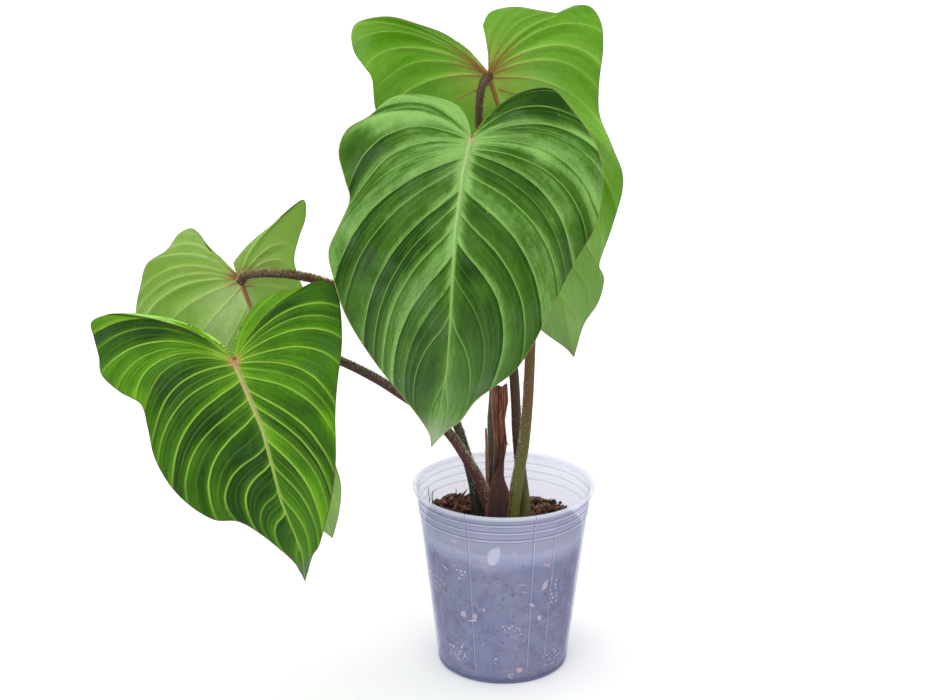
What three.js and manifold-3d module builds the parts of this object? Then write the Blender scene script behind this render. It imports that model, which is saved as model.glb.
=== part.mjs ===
// Potted philodendron with four large heart-shaped leaves in a clear nursery pot.
// Millimetres, +Z up. The origin is the middle of the pot's base, on the surface it stands on.
// The leaf that shows its upper side looks towards -Y.
import * as THREE from 'three';
import { mergeVertices } from 'three/addons/utils/BufferGeometryUtils.js';
import Module from 'manifold-3d';

const wasm = await Module();
wasm.setup();

const FIT_GAP = 0.35;

// Clear plastic pot, 12 cm across the lip
const POT = {
  height: 125, baseRadius: 43, topRadius: 57.5, lipRadius: 60, wall: 0.9, floor: 1.4, baseBevel: 1.2,
  ringHeights: [106.9, 112.4, 117.8], ringRelief: 0.5, ringHalf: 0.9,
  segments: 36, holeRadius: 4, holeRing: 29, holeCount: 8, holeSides: 8, drillLength: 8,
  // Where the lip leaves the wall: distance out from the wall, and distance down from the top
  lipRoot: [0.3, 4],
  // Outline of the lip: distance in from its widest radius, and distance down from the top
  lipOutline: [[0.5, 3.6], [0, 2], [0.4, 0.5], [1.4, 0]],
};

// Bark and perlite mix, a little higher at the back left
const SOIL = {
  level: 97, edgeDrop: 4, roughness: 3, heapHeight: 10, heapX: -34, heapY: 14, heapSpread: 20,
  wallHeights: [30, 60], rings: 5, ringOffset: 0.4, headroom: 5, seed: 12,
  // Bark chips and grains on top: the least of each size, and how much is added at most
  chips: 18, chipSizes: [[8, 7], [4, 4], [3, 2]], chipTilt: 0.9,
  grains: 12, grainSize: [1.8, 1.6],
  scatterMargin: 6, scatterHollow: 0.12,
};

// Short stem that the leaf stalks grow from
const STEM = {
  x: -2, y: -0.5, radius: 9, bottom: 62, top: 106, sides: 14,
  // Knobbly outline: share of the radius, and height above the bottom
  outline: [[0.6, 0], [0.9, 6], [0.84, 14], [1, 22], [0.9, 31], [1, 40], [0.86, 44]],
};

const BLADE = {
  thickness: 0.8, stalkGap: 0.45, halfWidth: 80,
  ridge: 1.8, ridgeWidth: 2.6, ridgeFade: 0.85,
  // Pillows between the side veins fade out near the stalk, the lobes and the tip
  quilt: 1.3, quiltReach: 30, calmReach: 1.02,
  veinCount: 11, firstVein: 0.08, veinStep: 0.085, linesPerVein: 3, tipLines: [0.36, 0.7, 1],
  rows: [0, 0.08, 0.36, 0.7, 1], fanEnd: 0.5, spread: 2.1,
  // How far the side veins bow: a least bow, and more of it around one place on the outline
  bowLeast: 0.05, bowMore: 0.22, bowAt: 0.48, bowReach: 0.2, sinusReach: 0.12,
};

// Blade outlines are in the flat blade: across from the midrib, and along it from the stalk.
// They run from the sinus over the lobe and down to the tip.
const LEAVES = {
  front: {
    attach: [-21.7, -50, 365.6], tip: [-45.2, -113.5, 194],
    upper: [0.02, -0.96, 0.28], bulge: [0, -0.98, 0.21],
    left: [[10, -19], [22, -22], [38, -22], [51, -18], [62, -6], [74, 4], [77, 18], [71, 34],
      [67, 46], [72, 64], [75, 77], [70, 92], [59, 115], [42, 136], [19, 158], [7, 171],
      [2, 178], [0, 185]],
    right: [[14, -23], [28, -33], [44, -37], [56, -28], [70, -13], [79, 3], [82, 24], [80, 44],
      [71, 64], [60, 92], [53, 114], [44, 132], [32, 144], [22, 154], [15, 167], [8, 174], [0, 185]],
    sinusBow: [0, 0], arch: 9, fold: 0.1, droop: 12, wave: 4, waves: 3.5, wavePhase: 0.2,
    colour: 0x3f7a35,
  },
  back: {
    attach: [-10.4, 14, 392.5], tip: [48, 55, 194],
    upper: [0, 0.98, 0.1], bulge: [0.01, 0.98, -0.18],
    left: [[5, -32], [12, -39], [27, -38], [42, -31], [54, -26], [64, -28], [72, -24],
      [75, -12], [72, 4], [65, 24], [60, 46], [62, 68], [64, 88], [60, 104], [48, 126], [34, 148],
      [34, 160], [26, 176], [12, 190], [0, 211]],
    right: [[8, -19], [18, -33], [32, -44], [48, -54], [66, -56], [73, -50], [75, -38], [72, -27],
      [70, -18], [74, 0], [75, 22], [72, 50], [68, 76], [59, 104], [48, 126], [34, 150],
      [23, 172], [14, 188], [4, 202], [0, 211]],
    sinusBow: [-0.16, 0], arch: 8, fold: 0.08, droop: 12, wave: 4, waves: 4, wavePhase: 0.5,
    colour: 0x7aa84e,
  },
  leftFront: {
    attach: [-163.3, -88, 238.8], tip: [-114.9, -196, 144.9],
    upper: [-0.08, -0.72, 0.69], bulge: [0.12, -0.94, 0.31],
    left: [[14, -23], [31, -41], [50, -54], [65, -61], [76, -60], [77, -48], [77, -34], [78, -21],
      [70, -6], [60, 7], [60, 24], [61, 44], [57, 64], [49, 81], [38, 95], [26, 101],
      [17, 112], [8, 127], [2, 139], [0, 151]],
    right: [[7, -16], [14, -26], [25, -34], [38, -36], [52, -34], [66, -34], [72, -26], [71, -12],
      [64, 12], [54, 36], [46, 58], [38, 84], [28, 108], [15, 131], [8, 138], [0, 151]],
    sinusBow: [0, 0], arch: 7, fold: 0.1, droop: 8, wave: 3, waves: 3.5, wavePhase: 0.7,
    colour: 0x4f9434,
  },
  leftBack: {
    attach: [-165.7, -18, 269.5], tip: [-114.3, 6, 85],
    upper: [-0.1, 0.95, 0.2], bulge: [-0.12, 0.96, -0.27],
    left: [[-1, -12], [7, -18], [18, -24], [32, -30], [52, -39], [51, -28], [43, -16], [36, -3],
      [35, 10], [36, 26], [37, 50], [36, 74], [30, 100], [22, 124], [18, 142], [17, 160],
      [9, 180], [0, 195]],
    right: [[14, -34], [18, -41], [27, -40], [38, -32], [52, -27], [61, -14], [68, -2],
      [73, 12], [72, 34], [69, 56], [63, 80], [54, 104], [42, 128], [28, 152], [12, 176], [0, 195]],
    sinusBow: [0.05, -0.22], arch: 8, fold: 0.08, droop: 10, wave: 3, waves: 4, wavePhase: 0.1,
    colour: 0x8db95f,
  },
};

// Leaf stalks: centre line from the stem out to the blade, and radius at the base, middle and end
const STALKS = {
  front: {
    points: [[3, -7.5, 82], [5.4, -9.5, 100], [7.2, -10.5, 119], [10.2, -11, 140],
      [12.9, -12, 158], [14.6, -13, 180], [15.6, -14, 205], [16, -15, 235], [13, -17, 268],
      [6, -20, 303], [-6, -23, 332], [-17, -28, 351], [-21.5, -37, 360.5]],
    radii: [4.3, 3.4, 2.6], colour: 0x56603a,
  },
  back: {
    points: [[9.5, 2, 84], [13.2, 4.5, 97], [14.2, 5, 106], [12, 5, 126], [9.8, 4.5, 146],
      [8.5, 4, 162], [7.6, 4, 180], [6.3, 4, 199], [4, 4, 222], [0, 4.5, 255], [-8, 5, 305],
      [-14.5, 4, 341],
      [-16.5, 3, 362], [-16.3, 3, 378], [-14.5, 4.5, 388], [-11.6, 8, 391.8]],
    radii: [3.9, 3.2, 2.3], colour: 0x4a3a30,
  },
  leftFront: {
    points: [[-6, -6.5, 86], [-9, -9, 108], [-16.2, -13, 132], [-24.8, -18, 149.5],
      [-35.8, -24, 169], [-50.5, -34, 187.5], [-66, -42, 202], [-81, -50, 215], [-99, -58, 227.5],
      [-120, -66, 239], [-140, -71, 241.5], [-154, -76, 235], [-161.5, -82, 233]],
    radii: [4.4, 3.1, 2.5], colour: 0x6b4138,
  },
  leftBack: {
    points: [[-11, 1, 86], [-17, 3, 106], [-19, 3, 121], [-22.5, 2, 136], [-30, 0, 164],
      [-38.5, -2, 184], [-51, -6, 212], [-67, -11, 237], [-85, -17, 254.5], [-101, -21, 263.5],
      [-119, -26, 271.5], [-135, -29, 275.5], [-150, -30, 276.5], [-161, -27, 274.5]],
    radii: [4.1, 3, 2.4], colour: 0x4c5236,
  },
  young: {
    points: [[-7.4, 4.6, 106.5], [-8.2, 5, 125], [-8.2, 5, 154], [-8.6, 5, 168], [-7.5, 5, 192],
      [-10, 8, 216], [-14, 11, 238]],
    radii: [2.6, 2.2, 1.9], colour: 0x707a66,
  },
};

// Shares of a stalk's length over which its base and its end taper
const STALK_TAPER = { base: [0.05, 0.3], end: [0.3, 0.95], steps: 26, youngSteps: 14, sides: 8 };

// The newest leaf is still rolled up
const YOUNG_LEAF = {
  bottom: [-14.1, 11.1, 238.9], top: [-27, 19, 330],
  radius: 4.6, tipRadius: 0.9, lap: 1.1, twist: 0.5, steps: 14, sides: 12,
};

// Dried leaf sheaths: thin curved strips with a width and a curl across them
const SHEATHS = {
  tall: {
    points: [[-3.4, -2, 106.4], [-3.4, -2, 128], [-3.1, -2, 141], [-2.2, -1.9, 152], [-3, -1.8, 164],
      [-3.4, -1.8, 170.5], [-2.8, -1.6, 182], [-3.1, -1.5, 193.5]],
    widths: [5.8, 5.8, 5.6, 7.4, 7.1, 7.4, 9.8, 9], thickness: 1.2, curl: 5.5, rib: 1.1, colour: 0x7b4a3a,
  },
  low: {
    points: [[-4.5, -15.4, 93], [-4.6, -15.7, 108], [-3.9, -15.4, 116], [-3.2, -15, 122.5],
      [-3.4, -14.2, 128], [-3.7, -13.2, 133], [-2.7, -11.6, 138.5], [-1.2, -9.4, 144], [-0.7, -7, 150],
      [-0.8, -5.6, 155]],
    widths: [15.5, 15, 15.2, 14.1, 11.6, 8.4, 4.5, 2.4, 1.8, 1.4],
    thickness: 1, curl: 12, rib: 0.25, colour: 0x6e3e2c,
  },
  side: {
    points: [[-10, 0.2, 106.4], [-10.4, 1, 125], [-10.8, 1.6, 139], [-11.2, 2.4, 150], [-11.6, 3, 162]],
    widths: [2.2, 2.1, 2.5, 2, 1.3], thickness: 0.9, curl: 4, rib: 0, colour: 0x9a7668,
  },
};

// Grid of each sheath, the share of its width that the curl follows, and when it faces the front
const SHEATH_GRID = { steps: 16, across: 4, curlShare: 0.9, frontWithin: 4 };

function makeRandom(seed) {
  let state = seed;
  return () => {
    state = (state * 1664525 + 1013904223) % 4294967296;
    return state / 4294967296;
  };
}

const vec = (p) => new THREE.Vector3(p[0], p[1], p[2]);

function smoothStep(from, to, value) {
  const x = THREE.MathUtils.clamp((value - from) / (to - from), 0, 1);
  return x * x * (3 - 2 * x);
}

function geometryFrom(points, triangles) {
  const geometry = new THREE.BufferGeometry();
  geometry.setAttribute('position', new THREE.Float32BufferAttribute(points.flat(), 3));
  geometry.setIndex(triangles.flat());
  return geometry;
}

function toSolid(geometry) {
  const bare = geometry.clone();
  bare.deleteAttribute('normal');
  bare.deleteAttribute('uv');
  const merged = mergeVertices(bare, 1e-4);
  return new wasm.Manifold(new wasm.Mesh({
    numProp: 3,
    vertProperties: new Float32Array(merged.attributes.position.array),
    triVerts: new Uint32Array(merged.index.array),
  }));
}

function toGeometry(solid) {
  const mesh = solid.getMesh();
  const geometry = new THREE.BufferGeometry();
  geometry.setAttribute('position', new THREE.BufferAttribute(mesh.vertProperties, 3));
  geometry.setIndex(new THREE.BufferAttribute(mesh.triVerts, 1));
  return geometry;
}

function turned(profile, segments) {
  const lathe = new THREE.LatheGeometry(profile.map((p) => new THREE.Vector2(p[0], p[1])), segments);
  return lathe.rotateX(Math.PI / 2);
}

function namedMesh(name, geometry, colour, roughness) {
  const material = new THREE.MeshStandardMaterial({ color: colour, roughness, metalness: 0 });
  const mesh = new THREE.Mesh(geometry, material);
  mesh.name = name;
  return mesh;
}

// Pot

const potOuter = (z) => POT.baseRadius + (POT.topRadius - POT.baseRadius) * (z / POT.height);
const potInner = (z) => potOuter(z) - POT.wall;

function potGeometry() {
  const { height, floor, lipRadius, lipRoot, ringHalf, ringRelief, holeRadius, holeRing } = POT;
  const outer = [[0, 0], [potOuter(0) - POT.baseBevel, 0], [potOuter(floor), floor]];
  for (const z of POT.ringHeights) {
    outer.push([potOuter(z - ringHalf), z - ringHalf]);
    outer.push([potOuter(z) + ringRelief, z]);
    outer.push([potOuter(z + ringHalf), z + ringHalf]);
  }
  const lipUnder = height - lipRoot[1];
  const lip = POT.lipOutline.map(([inward, down]) => [lipRadius - inward, height - down]);
  const inner = [[potInner(height), height], [potInner(floor), floor], [0, floor]];
  const profile = [...outer, [potOuter(lipUnder) + lipRoot[0], lipUnder], ...lip, ...inner];
  let solid = toSolid(turned(profile, POT.segments));

  for (let i = 0; i < POT.holeCount; i += 1) {
    const turn = (i / POT.holeCount) * Math.PI * 2;
    const drill = new THREE.CylinderGeometry(holeRadius, holeRadius, POT.drillLength, POT.holeSides);
    drill.rotateX(Math.PI / 2);
    drill.translate(holeRing * Math.cos(turn), holeRing * Math.sin(turn), 0);
    solid = solid.subtract(toSolid(drill));
  }
  return toGeometry(solid);
}

// Stalks and stem

function taperedTube(curve, radiusAt, steps, sides) {
  const frames = curve.computeFrenetFrames(steps, false);
  const points = [];
  const triangles = [];
  for (let i = 0; i <= steps; i += 1) {
    const centre = curve.getPointAt(i / steps);
    const radius = radiusAt(i / steps);
    for (let k = 0; k < sides; k += 1) {
      const turn = (k / sides) * Math.PI * 2;
      const out = frames.normals[i].clone().multiplyScalar(Math.cos(turn));
      out.addScaledVector(frames.binormals[i], Math.sin(turn));
      points.push(centre.clone().addScaledVector(out, radius).toArray());
    }
  }
  for (let i = 0; i < steps; i += 1) {
    for (let k = 0; k < sides; k += 1) {
      const next = (k + 1) % sides;
      const a = i * sides + k;
      const b = i * sides + next;
      triangles.push([a, b, b + sides], [a, b + sides, a + sides]);
    }
  }
  const start = points.push(curve.getPointAt(0).toArray()) - 1;
  const end = points.push(curve.getPointAt(1).toArray()) - 1;
  const last = steps * sides;
  for (let k = 0; k < sides; k += 1) {
    const next = (k + 1) % sides;
    triangles.push([start, next, k], [end, last + k, last + next]);
  }
  return geometryFrom(points, triangles);
}

function stalkRadius(stalk, x) {
  const [base, middle, end] = stalk.radii;
  const slim = THREE.MathUtils.lerp(middle, end, smoothStep(...STALK_TAPER.end, x));
  return slim + (base - middle) * (1 - smoothStep(...STALK_TAPER.base, x));
}

function stalkCurve(name) {
  const points = STALKS[name].points.map(vec);
  const leaf = LEAVES[name];
  if (leaf) {
    const behind = BLADE.thickness + BLADE.ridge + BLADE.stalkGap;
    points.push(vec(leaf.attach).addScaledVector(bladeFrame(leaf).upper, -behind));
  }
  return new THREE.CatmullRomCurve3(points, false, 'catmullrom', 0.5);
}

function stalkGeometry(name, swell = 0) {
  const steps = name === 'young' ? STALK_TAPER.youngSteps : STALK_TAPER.steps;
  const radiusAt = (x) => stalkRadius(STALKS[name], x) + swell;
  return taperedTube(stalkCurve(name), radiusAt, steps, STALK_TAPER.sides);
}

function stemGeometry(swell = 0) {
  const { radius, bottom, top, outline } = STEM;
  const wall = outline.map(([share, rise]) => [radius * share + swell, bottom + rise]);
  wall[0][1] -= swell;
  wall.at(-1)[1] += swell;
  const profile = [[0, bottom - swell], ...wall, [0, top + swell]];
  return turned(profile, STEM.sides).translate(STEM.x, STEM.y, 0);
}

// Blades

function bladeFrame(leaf) {
  const origin = vec(leaf.attach);
  const along = vec(leaf.tip).sub(origin);
  const length = along.length();
  along.normalize();
  const upper = vec(leaf.upper).normalize();
  upper.addScaledVector(along, -upper.dot(along)).normalize();
  const across = new THREE.Vector3().crossVectors(upper, along);
  return { origin, along, length, upper, across, bulge: vec(leaf.bulge).normalize() };
}

// Steps from the lobe to the tip: three to each side vein
function bladeLines() {
  const lines = [0, BLADE.firstVein / 2];
  const step = BLADE.veinStep / BLADE.linesPerVein;
  const count = (BLADE.veinCount - 1) * BLADE.linesPerVein;
  for (let i = 0; i <= count; i += 1) lines.push(BLADE.firstVein + step * i);
  const last = lines.at(-1);
  for (const share of BLADE.tipLines) lines.push(THREE.MathUtils.lerp(last, 1, share));
  return lines;
}

const veinPhase = (t) => (t - BLADE.firstVein) / BLADE.veinStep;

function midribAt(t) {
  const x = Math.max(0, (t - BLADE.fanEnd) / (1 - BLADE.fanEnd));
  return x ** BLADE.spread;
}

// Side veins leave the midrib and bend towards the tip
function veinPoint(outline, sinusBow, length, t, f) {
  const start = new THREE.Vector2(0, length * midribAt(t));
  const end = outline.getPointAt(t);
  const chord = end.clone().sub(start);
  const atSinus = sinusBow * Math.max(0, 1 - t / BLADE.sinusReach) ** 2;
  const away = (t - BLADE.bowAt) / BLADE.bowReach;
  const bow = atSinus + BLADE.bowLeast + BLADE.bowMore * Math.exp(-(away ** 2));
  const bend = new THREE.Vector2(chord.y, -chord.x).multiplyScalar(bow);
  const control = start.clone().add(end).multiplyScalar(0.5).add(bend);
  const keep = 1 - f;
  return start.multiplyScalar(keep * keep)
    .addScaledVector(control, 2 * f * keep)
    .addScaledVector(end, f * f);
}

function bladeHeight(leaf, length, flat, t, f) {
  const x = flat.y / length;
  const arch = leaf.arch * 4 * x * (1 - x);
  const side = flat.x / BLADE.halfWidth;
  const cross = leaf.fold * flat.x - leaf.droop * side * side;
  const wave = leaf.wave * f ** 3 * Math.sin(2 * Math.PI * (leaf.waves * t + leaf.wavePhase));
  const calm = Math.sin(Math.PI * Math.min(1, t * BLADE.calmReach)) ** 0.5;
  const between = 0.5 - 0.5 * Math.cos(2 * Math.PI * veinPhase(t));
  const room = Math.min(1, Math.hypot(flat.x, Math.max(0, -flat.y)) / BLADE.quiltReach);
  const pillow = BLADE.quilt * between * room * Math.sin(Math.PI * f ** 0.7) * calm;
  return arch + cross + wave * calm + pillow;
}

function bladeGeometry(leaf, swell = 0) {
  const frame = bladeFrame(leaf);
  const lines = bladeLines();
  const lastRow = BLADE.rows.length - 1;
  const lastLine = lines.length - 1;
  const top = [];
  const ridge = [];
  const faces = [];
  const ids = new Map();

  const addPoint = (flat, sign, t, f, chordLength) => {
    const height = bladeHeight(leaf, frame.length, flat, t, f);
    const point = frame.origin.clone()
      .addScaledVector(frame.across, sign * flat.x)
      .addScaledVector(frame.along, flat.y)
      .addScaledVector(frame.bulge, height);
    top.push(point.toArray());
    const fade = 1 - BLADE.ridgeFade * THREE.MathUtils.clamp(flat.y / frame.length, 0, 1);
    ridge.push(BLADE.ridge * fade * Math.exp(-((f * chordLength / BLADE.ridgeWidth) ** 2)));
    return top.length - 1;
  };

  const idAt = (side, i, j) => {
    let key = `${side}:${i}:${j}`;
    if (i === lastLine) key = 'tip';
    else if (j === 0) key = lines[i] <= BLADE.fanEnd ? 'attach' : `mid:${i}`;
    if (!ids.has(key)) {
      const outline = side > 0 ? rightEdge : leftEdge;
      const sinusBow = leaf.sinusBow[side > 0 ? 1 : 0];
      const flat = veinPoint(outline, sinusBow, frame.length, lines[i], BLADE.rows[j]);
      const root = new THREE.Vector2(0, frame.length * midribAt(lines[i]));
      const chordLength = outline.getPointAt(lines[i]).distanceTo(root);
      ids.set(key, addPoint(flat, side, lines[i], BLADE.rows[j], chordLength));
    }
    return ids.get(key);
  };

  const leftEdge = new THREE.SplineCurve(leaf.left.map((p) => new THREE.Vector2(...p)));
  const rightEdge = new THREE.SplineCurve(leaf.right.map((p) => new THREE.Vector2(...p)));
  const addFace = (a, b, c, side) => {
    if (a === b || b === c || a === c) return;
    faces.push(side > 0 ? [a, c, b] : [a, b, c]);
  };
  for (const side of [1, -1]) {
    for (let i = 0; i < lastLine; i += 1) {
      for (let j = 0; j < lastRow; j += 1) {
        const a = idAt(side, i, j);
        const b = idAt(side, i, j + 1);
        const c = idAt(side, i + 1, j + 1);
        const d = idAt(side, i + 1, j);
        addFace(a, b, c, side);
        addFace(a, c, d, side);
      }
    }
  }

  const surface = geometryFrom(top, faces);
  surface.computeVertexNormals();
  const normals = surface.attributes.normal;
  const count = top.length;
  const layer = (offsetAt) => top.map((p, i) => {
    const normal = new THREE.Vector3().fromBufferAttribute(normals, i);
    return vec(p).addScaledVector(normal, offsetAt(i)).toArray();
  });
  const points = [...layer(() => swell), ...layer((i) => -BLADE.thickness - ridge[i] - swell)];
  const triangles = [...faces, ...faces.map(([a, b, c]) => [a + count, c + count, b + count])];

  const rim = (a, b) => triangles.push([a, a + count, b + count], [a, b + count, b]);
  for (const side of [1, -1]) {
    const edge = [];
    for (let j = 0; j <= lastRow; j += 1) edge.push(idAt(side, 0, j));
    for (let i = 1; i <= lastLine; i += 1) edge.push(idAt(side, i, lastRow));
    for (let k = 0; k + 1 < edge.length; k += 1) {
      if (side > 0) rim(edge[k + 1], edge[k]);
      else rim(edge[k], edge[k + 1]);
    }
  }
  return geometryFrom(points, triangles);
}

function youngLeafGeometry() {
  const { bottom, top, radius, tipRadius, lap, twist, steps, sides } = YOUNG_LEAF;
  const curve = new THREE.LineCurve3(vec(bottom), vec(top));
  const fullness = (x) => Math.sin(Math.PI * x ** 0.7) ** 0.8;
  const radiusAt = (x) => THREE.MathUtils.lerp(tipRadius, radius, fullness(x));
  const spindle = taperedTube(curve, radiusAt, steps, sides);
  const axis = vec(top).sub(vec(bottom)).normalize();
  const position = spindle.attributes.position;
  for (let i = 1; i < steps; i += 1) {
    const x = i / steps;
    const centre = curve.getPointAt(x);
    for (let k = 0; k < sides; k += 1) {
      const id = i * sides + k;
      const out = new THREE.Vector3().fromBufferAttribute(position, id).sub(centre);
      const along = axis.clone().multiplyScalar(out.dot(axis));
      const turn = (k / sides + x * twist) % 1;
      const swell = 1 + (lap / radius) * (0.5 - turn) * Math.sin(Math.PI * x);
      out.sub(along).multiplyScalar(swell).add(along).add(centre);
      position.setXYZ(id, out.x, out.y, out.z);
    }
  }
  return spindle;
}

// Dried sheaths

function sheathGeometry(sheath, swell = 0) {
  const curve = new THREE.CatmullRomCurve3(sheath.points.map(vec), false, 'catmullrom', 0.5);
  const { steps, across, curlShare, frontWithin } = SHEATH_GRID;
  const points = [];
  const triangles = [];
  const widthCurve = new THREE.SplineCurve(
    sheath.widths.map((w, i) => new THREE.Vector2(i / (sheath.widths.length - 1), w)),
  );
  const middle = new THREE.Vector3(STEM.x, STEM.y, 0);
  for (let i = 0; i <= steps; i += 1) {
    const x = i / steps;
    const centre = curve.getPoint(x);
    const half = widthCurve.getPoint(x).y / 2 + swell;
    const outward = centre.clone().sub(middle).setZ(0);
    if (outward.length() < frontWithin) outward.set(0, -1, 0);
    outward.normalize();
    const sideways = new THREE.Vector3(-outward.y, outward.x, 0);
    for (let k = 0; k <= across; k += 1) {
      const s = (k / across) * 2 - 1;
      const reach = s * half * curlShare;
      const sag = sheath.curl - Math.sqrt(Math.max(0, sheath.curl ** 2 - reach ** 2));
      const rib = sheath.rib * (k % 2);
      for (const layer of [0, 1]) {
        const depth = rib - sag + (layer ? -sheath.thickness - swell - rib : swell);
        const point = centre.clone().addScaledVector(sideways, s * half);
        points.push(point.addScaledVector(outward, depth).toArray());
      }
    }
  }
  const id = (i, k, layer) => (i * (across + 1) + k) * 2 + layer;
  const quad = (a, b, c, d) => triangles.push([a, b, c], [a, c, d]);
  for (let i = 0; i < steps; i += 1) {
    for (let k = 0; k < across; k += 1) {
      quad(id(i, k, 0), id(i, k + 1, 0), id(i + 1, k + 1, 0), id(i + 1, k, 0));
      quad(id(i, k, 1), id(i + 1, k, 1), id(i + 1, k + 1, 1), id(i, k + 1, 1));
    }
    quad(id(i, 0, 1), id(i, 0, 0), id(i + 1, 0, 0), id(i + 1, 0, 1));
    quad(id(i, across, 0), id(i, across, 1), id(i + 1, across, 1), id(i + 1, across, 0));
  }
  for (let k = 0; k < across; k += 1) {
    quad(id(0, k, 0), id(0, k, 1), id(0, k + 1, 1), id(0, k + 1, 0));
    quad(id(steps, k, 0), id(steps, k + 1, 0), id(steps, k + 1, 1), id(steps, k, 1));
  }
  return geometryFrom(points, triangles);
}

// Soil

function soilHeight(x, y, random) {
  const away = ((x - SOIL.heapX) ** 2 + (y - SOIL.heapY) ** 2) / SOIL.heapSpread ** 2;
  return SOIL.level + SOIL.heapHeight * Math.exp(-away) + (random() - 0.5) * SOIL.roughness;
}

function soilGeometry() {
  const random = makeRandom(SOIL.seed);
  const bottom = POT.floor + FIT_GAP;
  const segments = POT.segments;
  const edge = (z) => potInner(z) - FIT_GAP;
  const rings = [];
  const shoulder = SOIL.level - SOIL.edgeDrop;
  for (const z of [bottom, ...SOIL.wallHeights, shoulder]) rings.push({ radius: edge(z), z });
  const points = [[0, 0, bottom]];
  for (const ring of rings) {
    for (let k = 0; k < segments; k += 1) {
      const turn = (k / segments) * Math.PI * 2;
      points.push([ring.radius * Math.sin(turn), ring.radius * Math.cos(turn), ring.z]);
    }
  }
  const topRadius = edge(shoulder);
  for (let i = 0; i < SOIL.rings; i += 1) {
    const radius = topRadius * (1 - (i + SOIL.ringOffset) / SOIL.rings);
    for (let k = 0; k < segments; k += 1) {
      const turn = (k / segments) * Math.PI * 2;
      const x = radius * Math.sin(turn);
      const y = radius * Math.cos(turn);
      points.push([x, y, soilHeight(x, y, random)]);
    }
  }
  const peak = points.push([0, 0, SOIL.level]) - 1;
  const triangles = [];
  const ringCount = rings.length + SOIL.rings;
  const id = (ring, k) => 1 + ring * segments + (k % segments);
  for (let k = 0; k < segments; k += 1) {
    triangles.push([0, id(0, k), id(0, k + 1)]);
    for (let ring = 0; ring + 1 < ringCount; ring += 1) {
      triangles.push([id(ring, k), id(ring + 1, k), id(ring + 1, k + 1)]);
      triangles.push([id(ring, k), id(ring + 1, k + 1), id(ring, k + 1)]);
    }
    triangles.push([id(ringCount - 1, k), peak, id(ringCount - 1, k + 1)]);
  }
  let solid = toSolid(geometryFrom(points, triangles));

  const scatter = (count, make) => {
    for (let i = 0; i < count; i += 1) {
      const turn = random() * Math.PI * 2;
      const share = THREE.MathUtils.lerp(SOIL.scatterHollow, 1, random());
      const radius = (topRadius - SOIL.scatterMargin) * Math.sqrt(share);
      const x = radius * Math.cos(turn);
      const y = radius * Math.sin(turn);
      const piece = make();
      piece.rotateX((random() - 0.5) * SOIL.chipTilt);
      piece.rotateY((random() - 0.5) * SOIL.chipTilt);
      piece.rotateZ(random() * Math.PI * 2);
      piece.translate(x, y, soilHeight(x, y, () => 0.5));
      solid = solid.add(toSolid(piece));
    }
  };
  const drawn = ([least, more]) => least + more * random();
  scatter(SOIL.chips, () => new THREE.BoxGeometry(...SOIL.chipSizes.map(drawn)));
  scatter(SOIL.grains, () => new THREE.IcosahedronGeometry(drawn(SOIL.grainSize), 0));

  const rim = POT.height - SOIL.headroom;
  solid = solid.intersect(toSolid(turned(
    [[0, bottom], [edge(bottom), bottom], [edge(rim), rim], [0, rim]],
    segments,
  )));

  const stalks = Object.keys(LEAVES).map((name) => toSolid(stalkGeometry(name, FIT_GAP)));
  const hollows = [toSolid(stemGeometry(FIT_GAP)), toSolid(sheathGeometry(SHEATHS.low, FIT_GAP)), ...stalks];
  for (const hollow of hollows) solid = solid.subtract(hollow);
  const pieces = solid.decompose();
  pieces.sort((a, b) => b.volume() - a.volume());
  return toGeometry(pieces[0]);
}

// Everything in its place

function clearOf(geometry, others) {
  let solid = toSolid(geometry);
  for (const other of others) solid = solid.subtract(other);
  const pieces = solid.decompose();
  pieces.sort((a, b) => b.volume() - a.volume());
  return toGeometry(pieces[0]);
}

const plant = new THREE.Group();
plant.add(namedMesh('pot', potGeometry(), 0xc8cddf, 0.2));
plant.add(namedMesh('substrate', soilGeometry(), 0x5b4636, 0.95));
plant.add(namedMesh('stem', stemGeometry(), 0x5e4a34, 0.7));

const stemRoom = toSolid(stemGeometry(FIT_GAP));
const LEAF_NAMES = { front: 'front', back: 'back', leftFront: 'left_front', leftBack: 'left_back' };
for (const [name, label] of Object.entries(LEAF_NAMES)) {
  const bladeRoom = toSolid(bladeGeometry(LEAVES[name], FIT_GAP));
  const stalk = clearOf(stalkGeometry(name), [stemRoom, bladeRoom]);
  plant.add(namedMesh(`stalk_${label}`, stalk, STALKS[name].colour, 0.6));
  plant.add(namedMesh(`leaf_${label}`, bladeGeometry(LEAVES[name]), LEAVES[name].colour, 0.5));
}
plant.add(namedMesh('stalk_young', stalkGeometry('young'), STALKS.young.colour, 0.6));
plant.add(namedMesh('leaf_young', youngLeafGeometry(), 0x86a857, 0.5));
const sheathRoom = [stemRoom, ...Object.keys(STALKS).map((name) => toSolid(stalkGeometry(name, FIT_GAP)))];
for (const [name, sheath] of Object.entries(SHEATHS)) {
  plant.add(namedMesh(`sheath_${name}`, clearOf(sheathGeometry(sheath), sheathRoom), sheath.colour, 0.85));
}

export default plant;
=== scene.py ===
# Potted philodendron: four velvet heart leaves on bristly stalks, in a clear nursery pot of bark mix.
import math
import random

import bmesh
import bpy
import numpy as np
from mathutils import Matrix, Vector, noise


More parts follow.
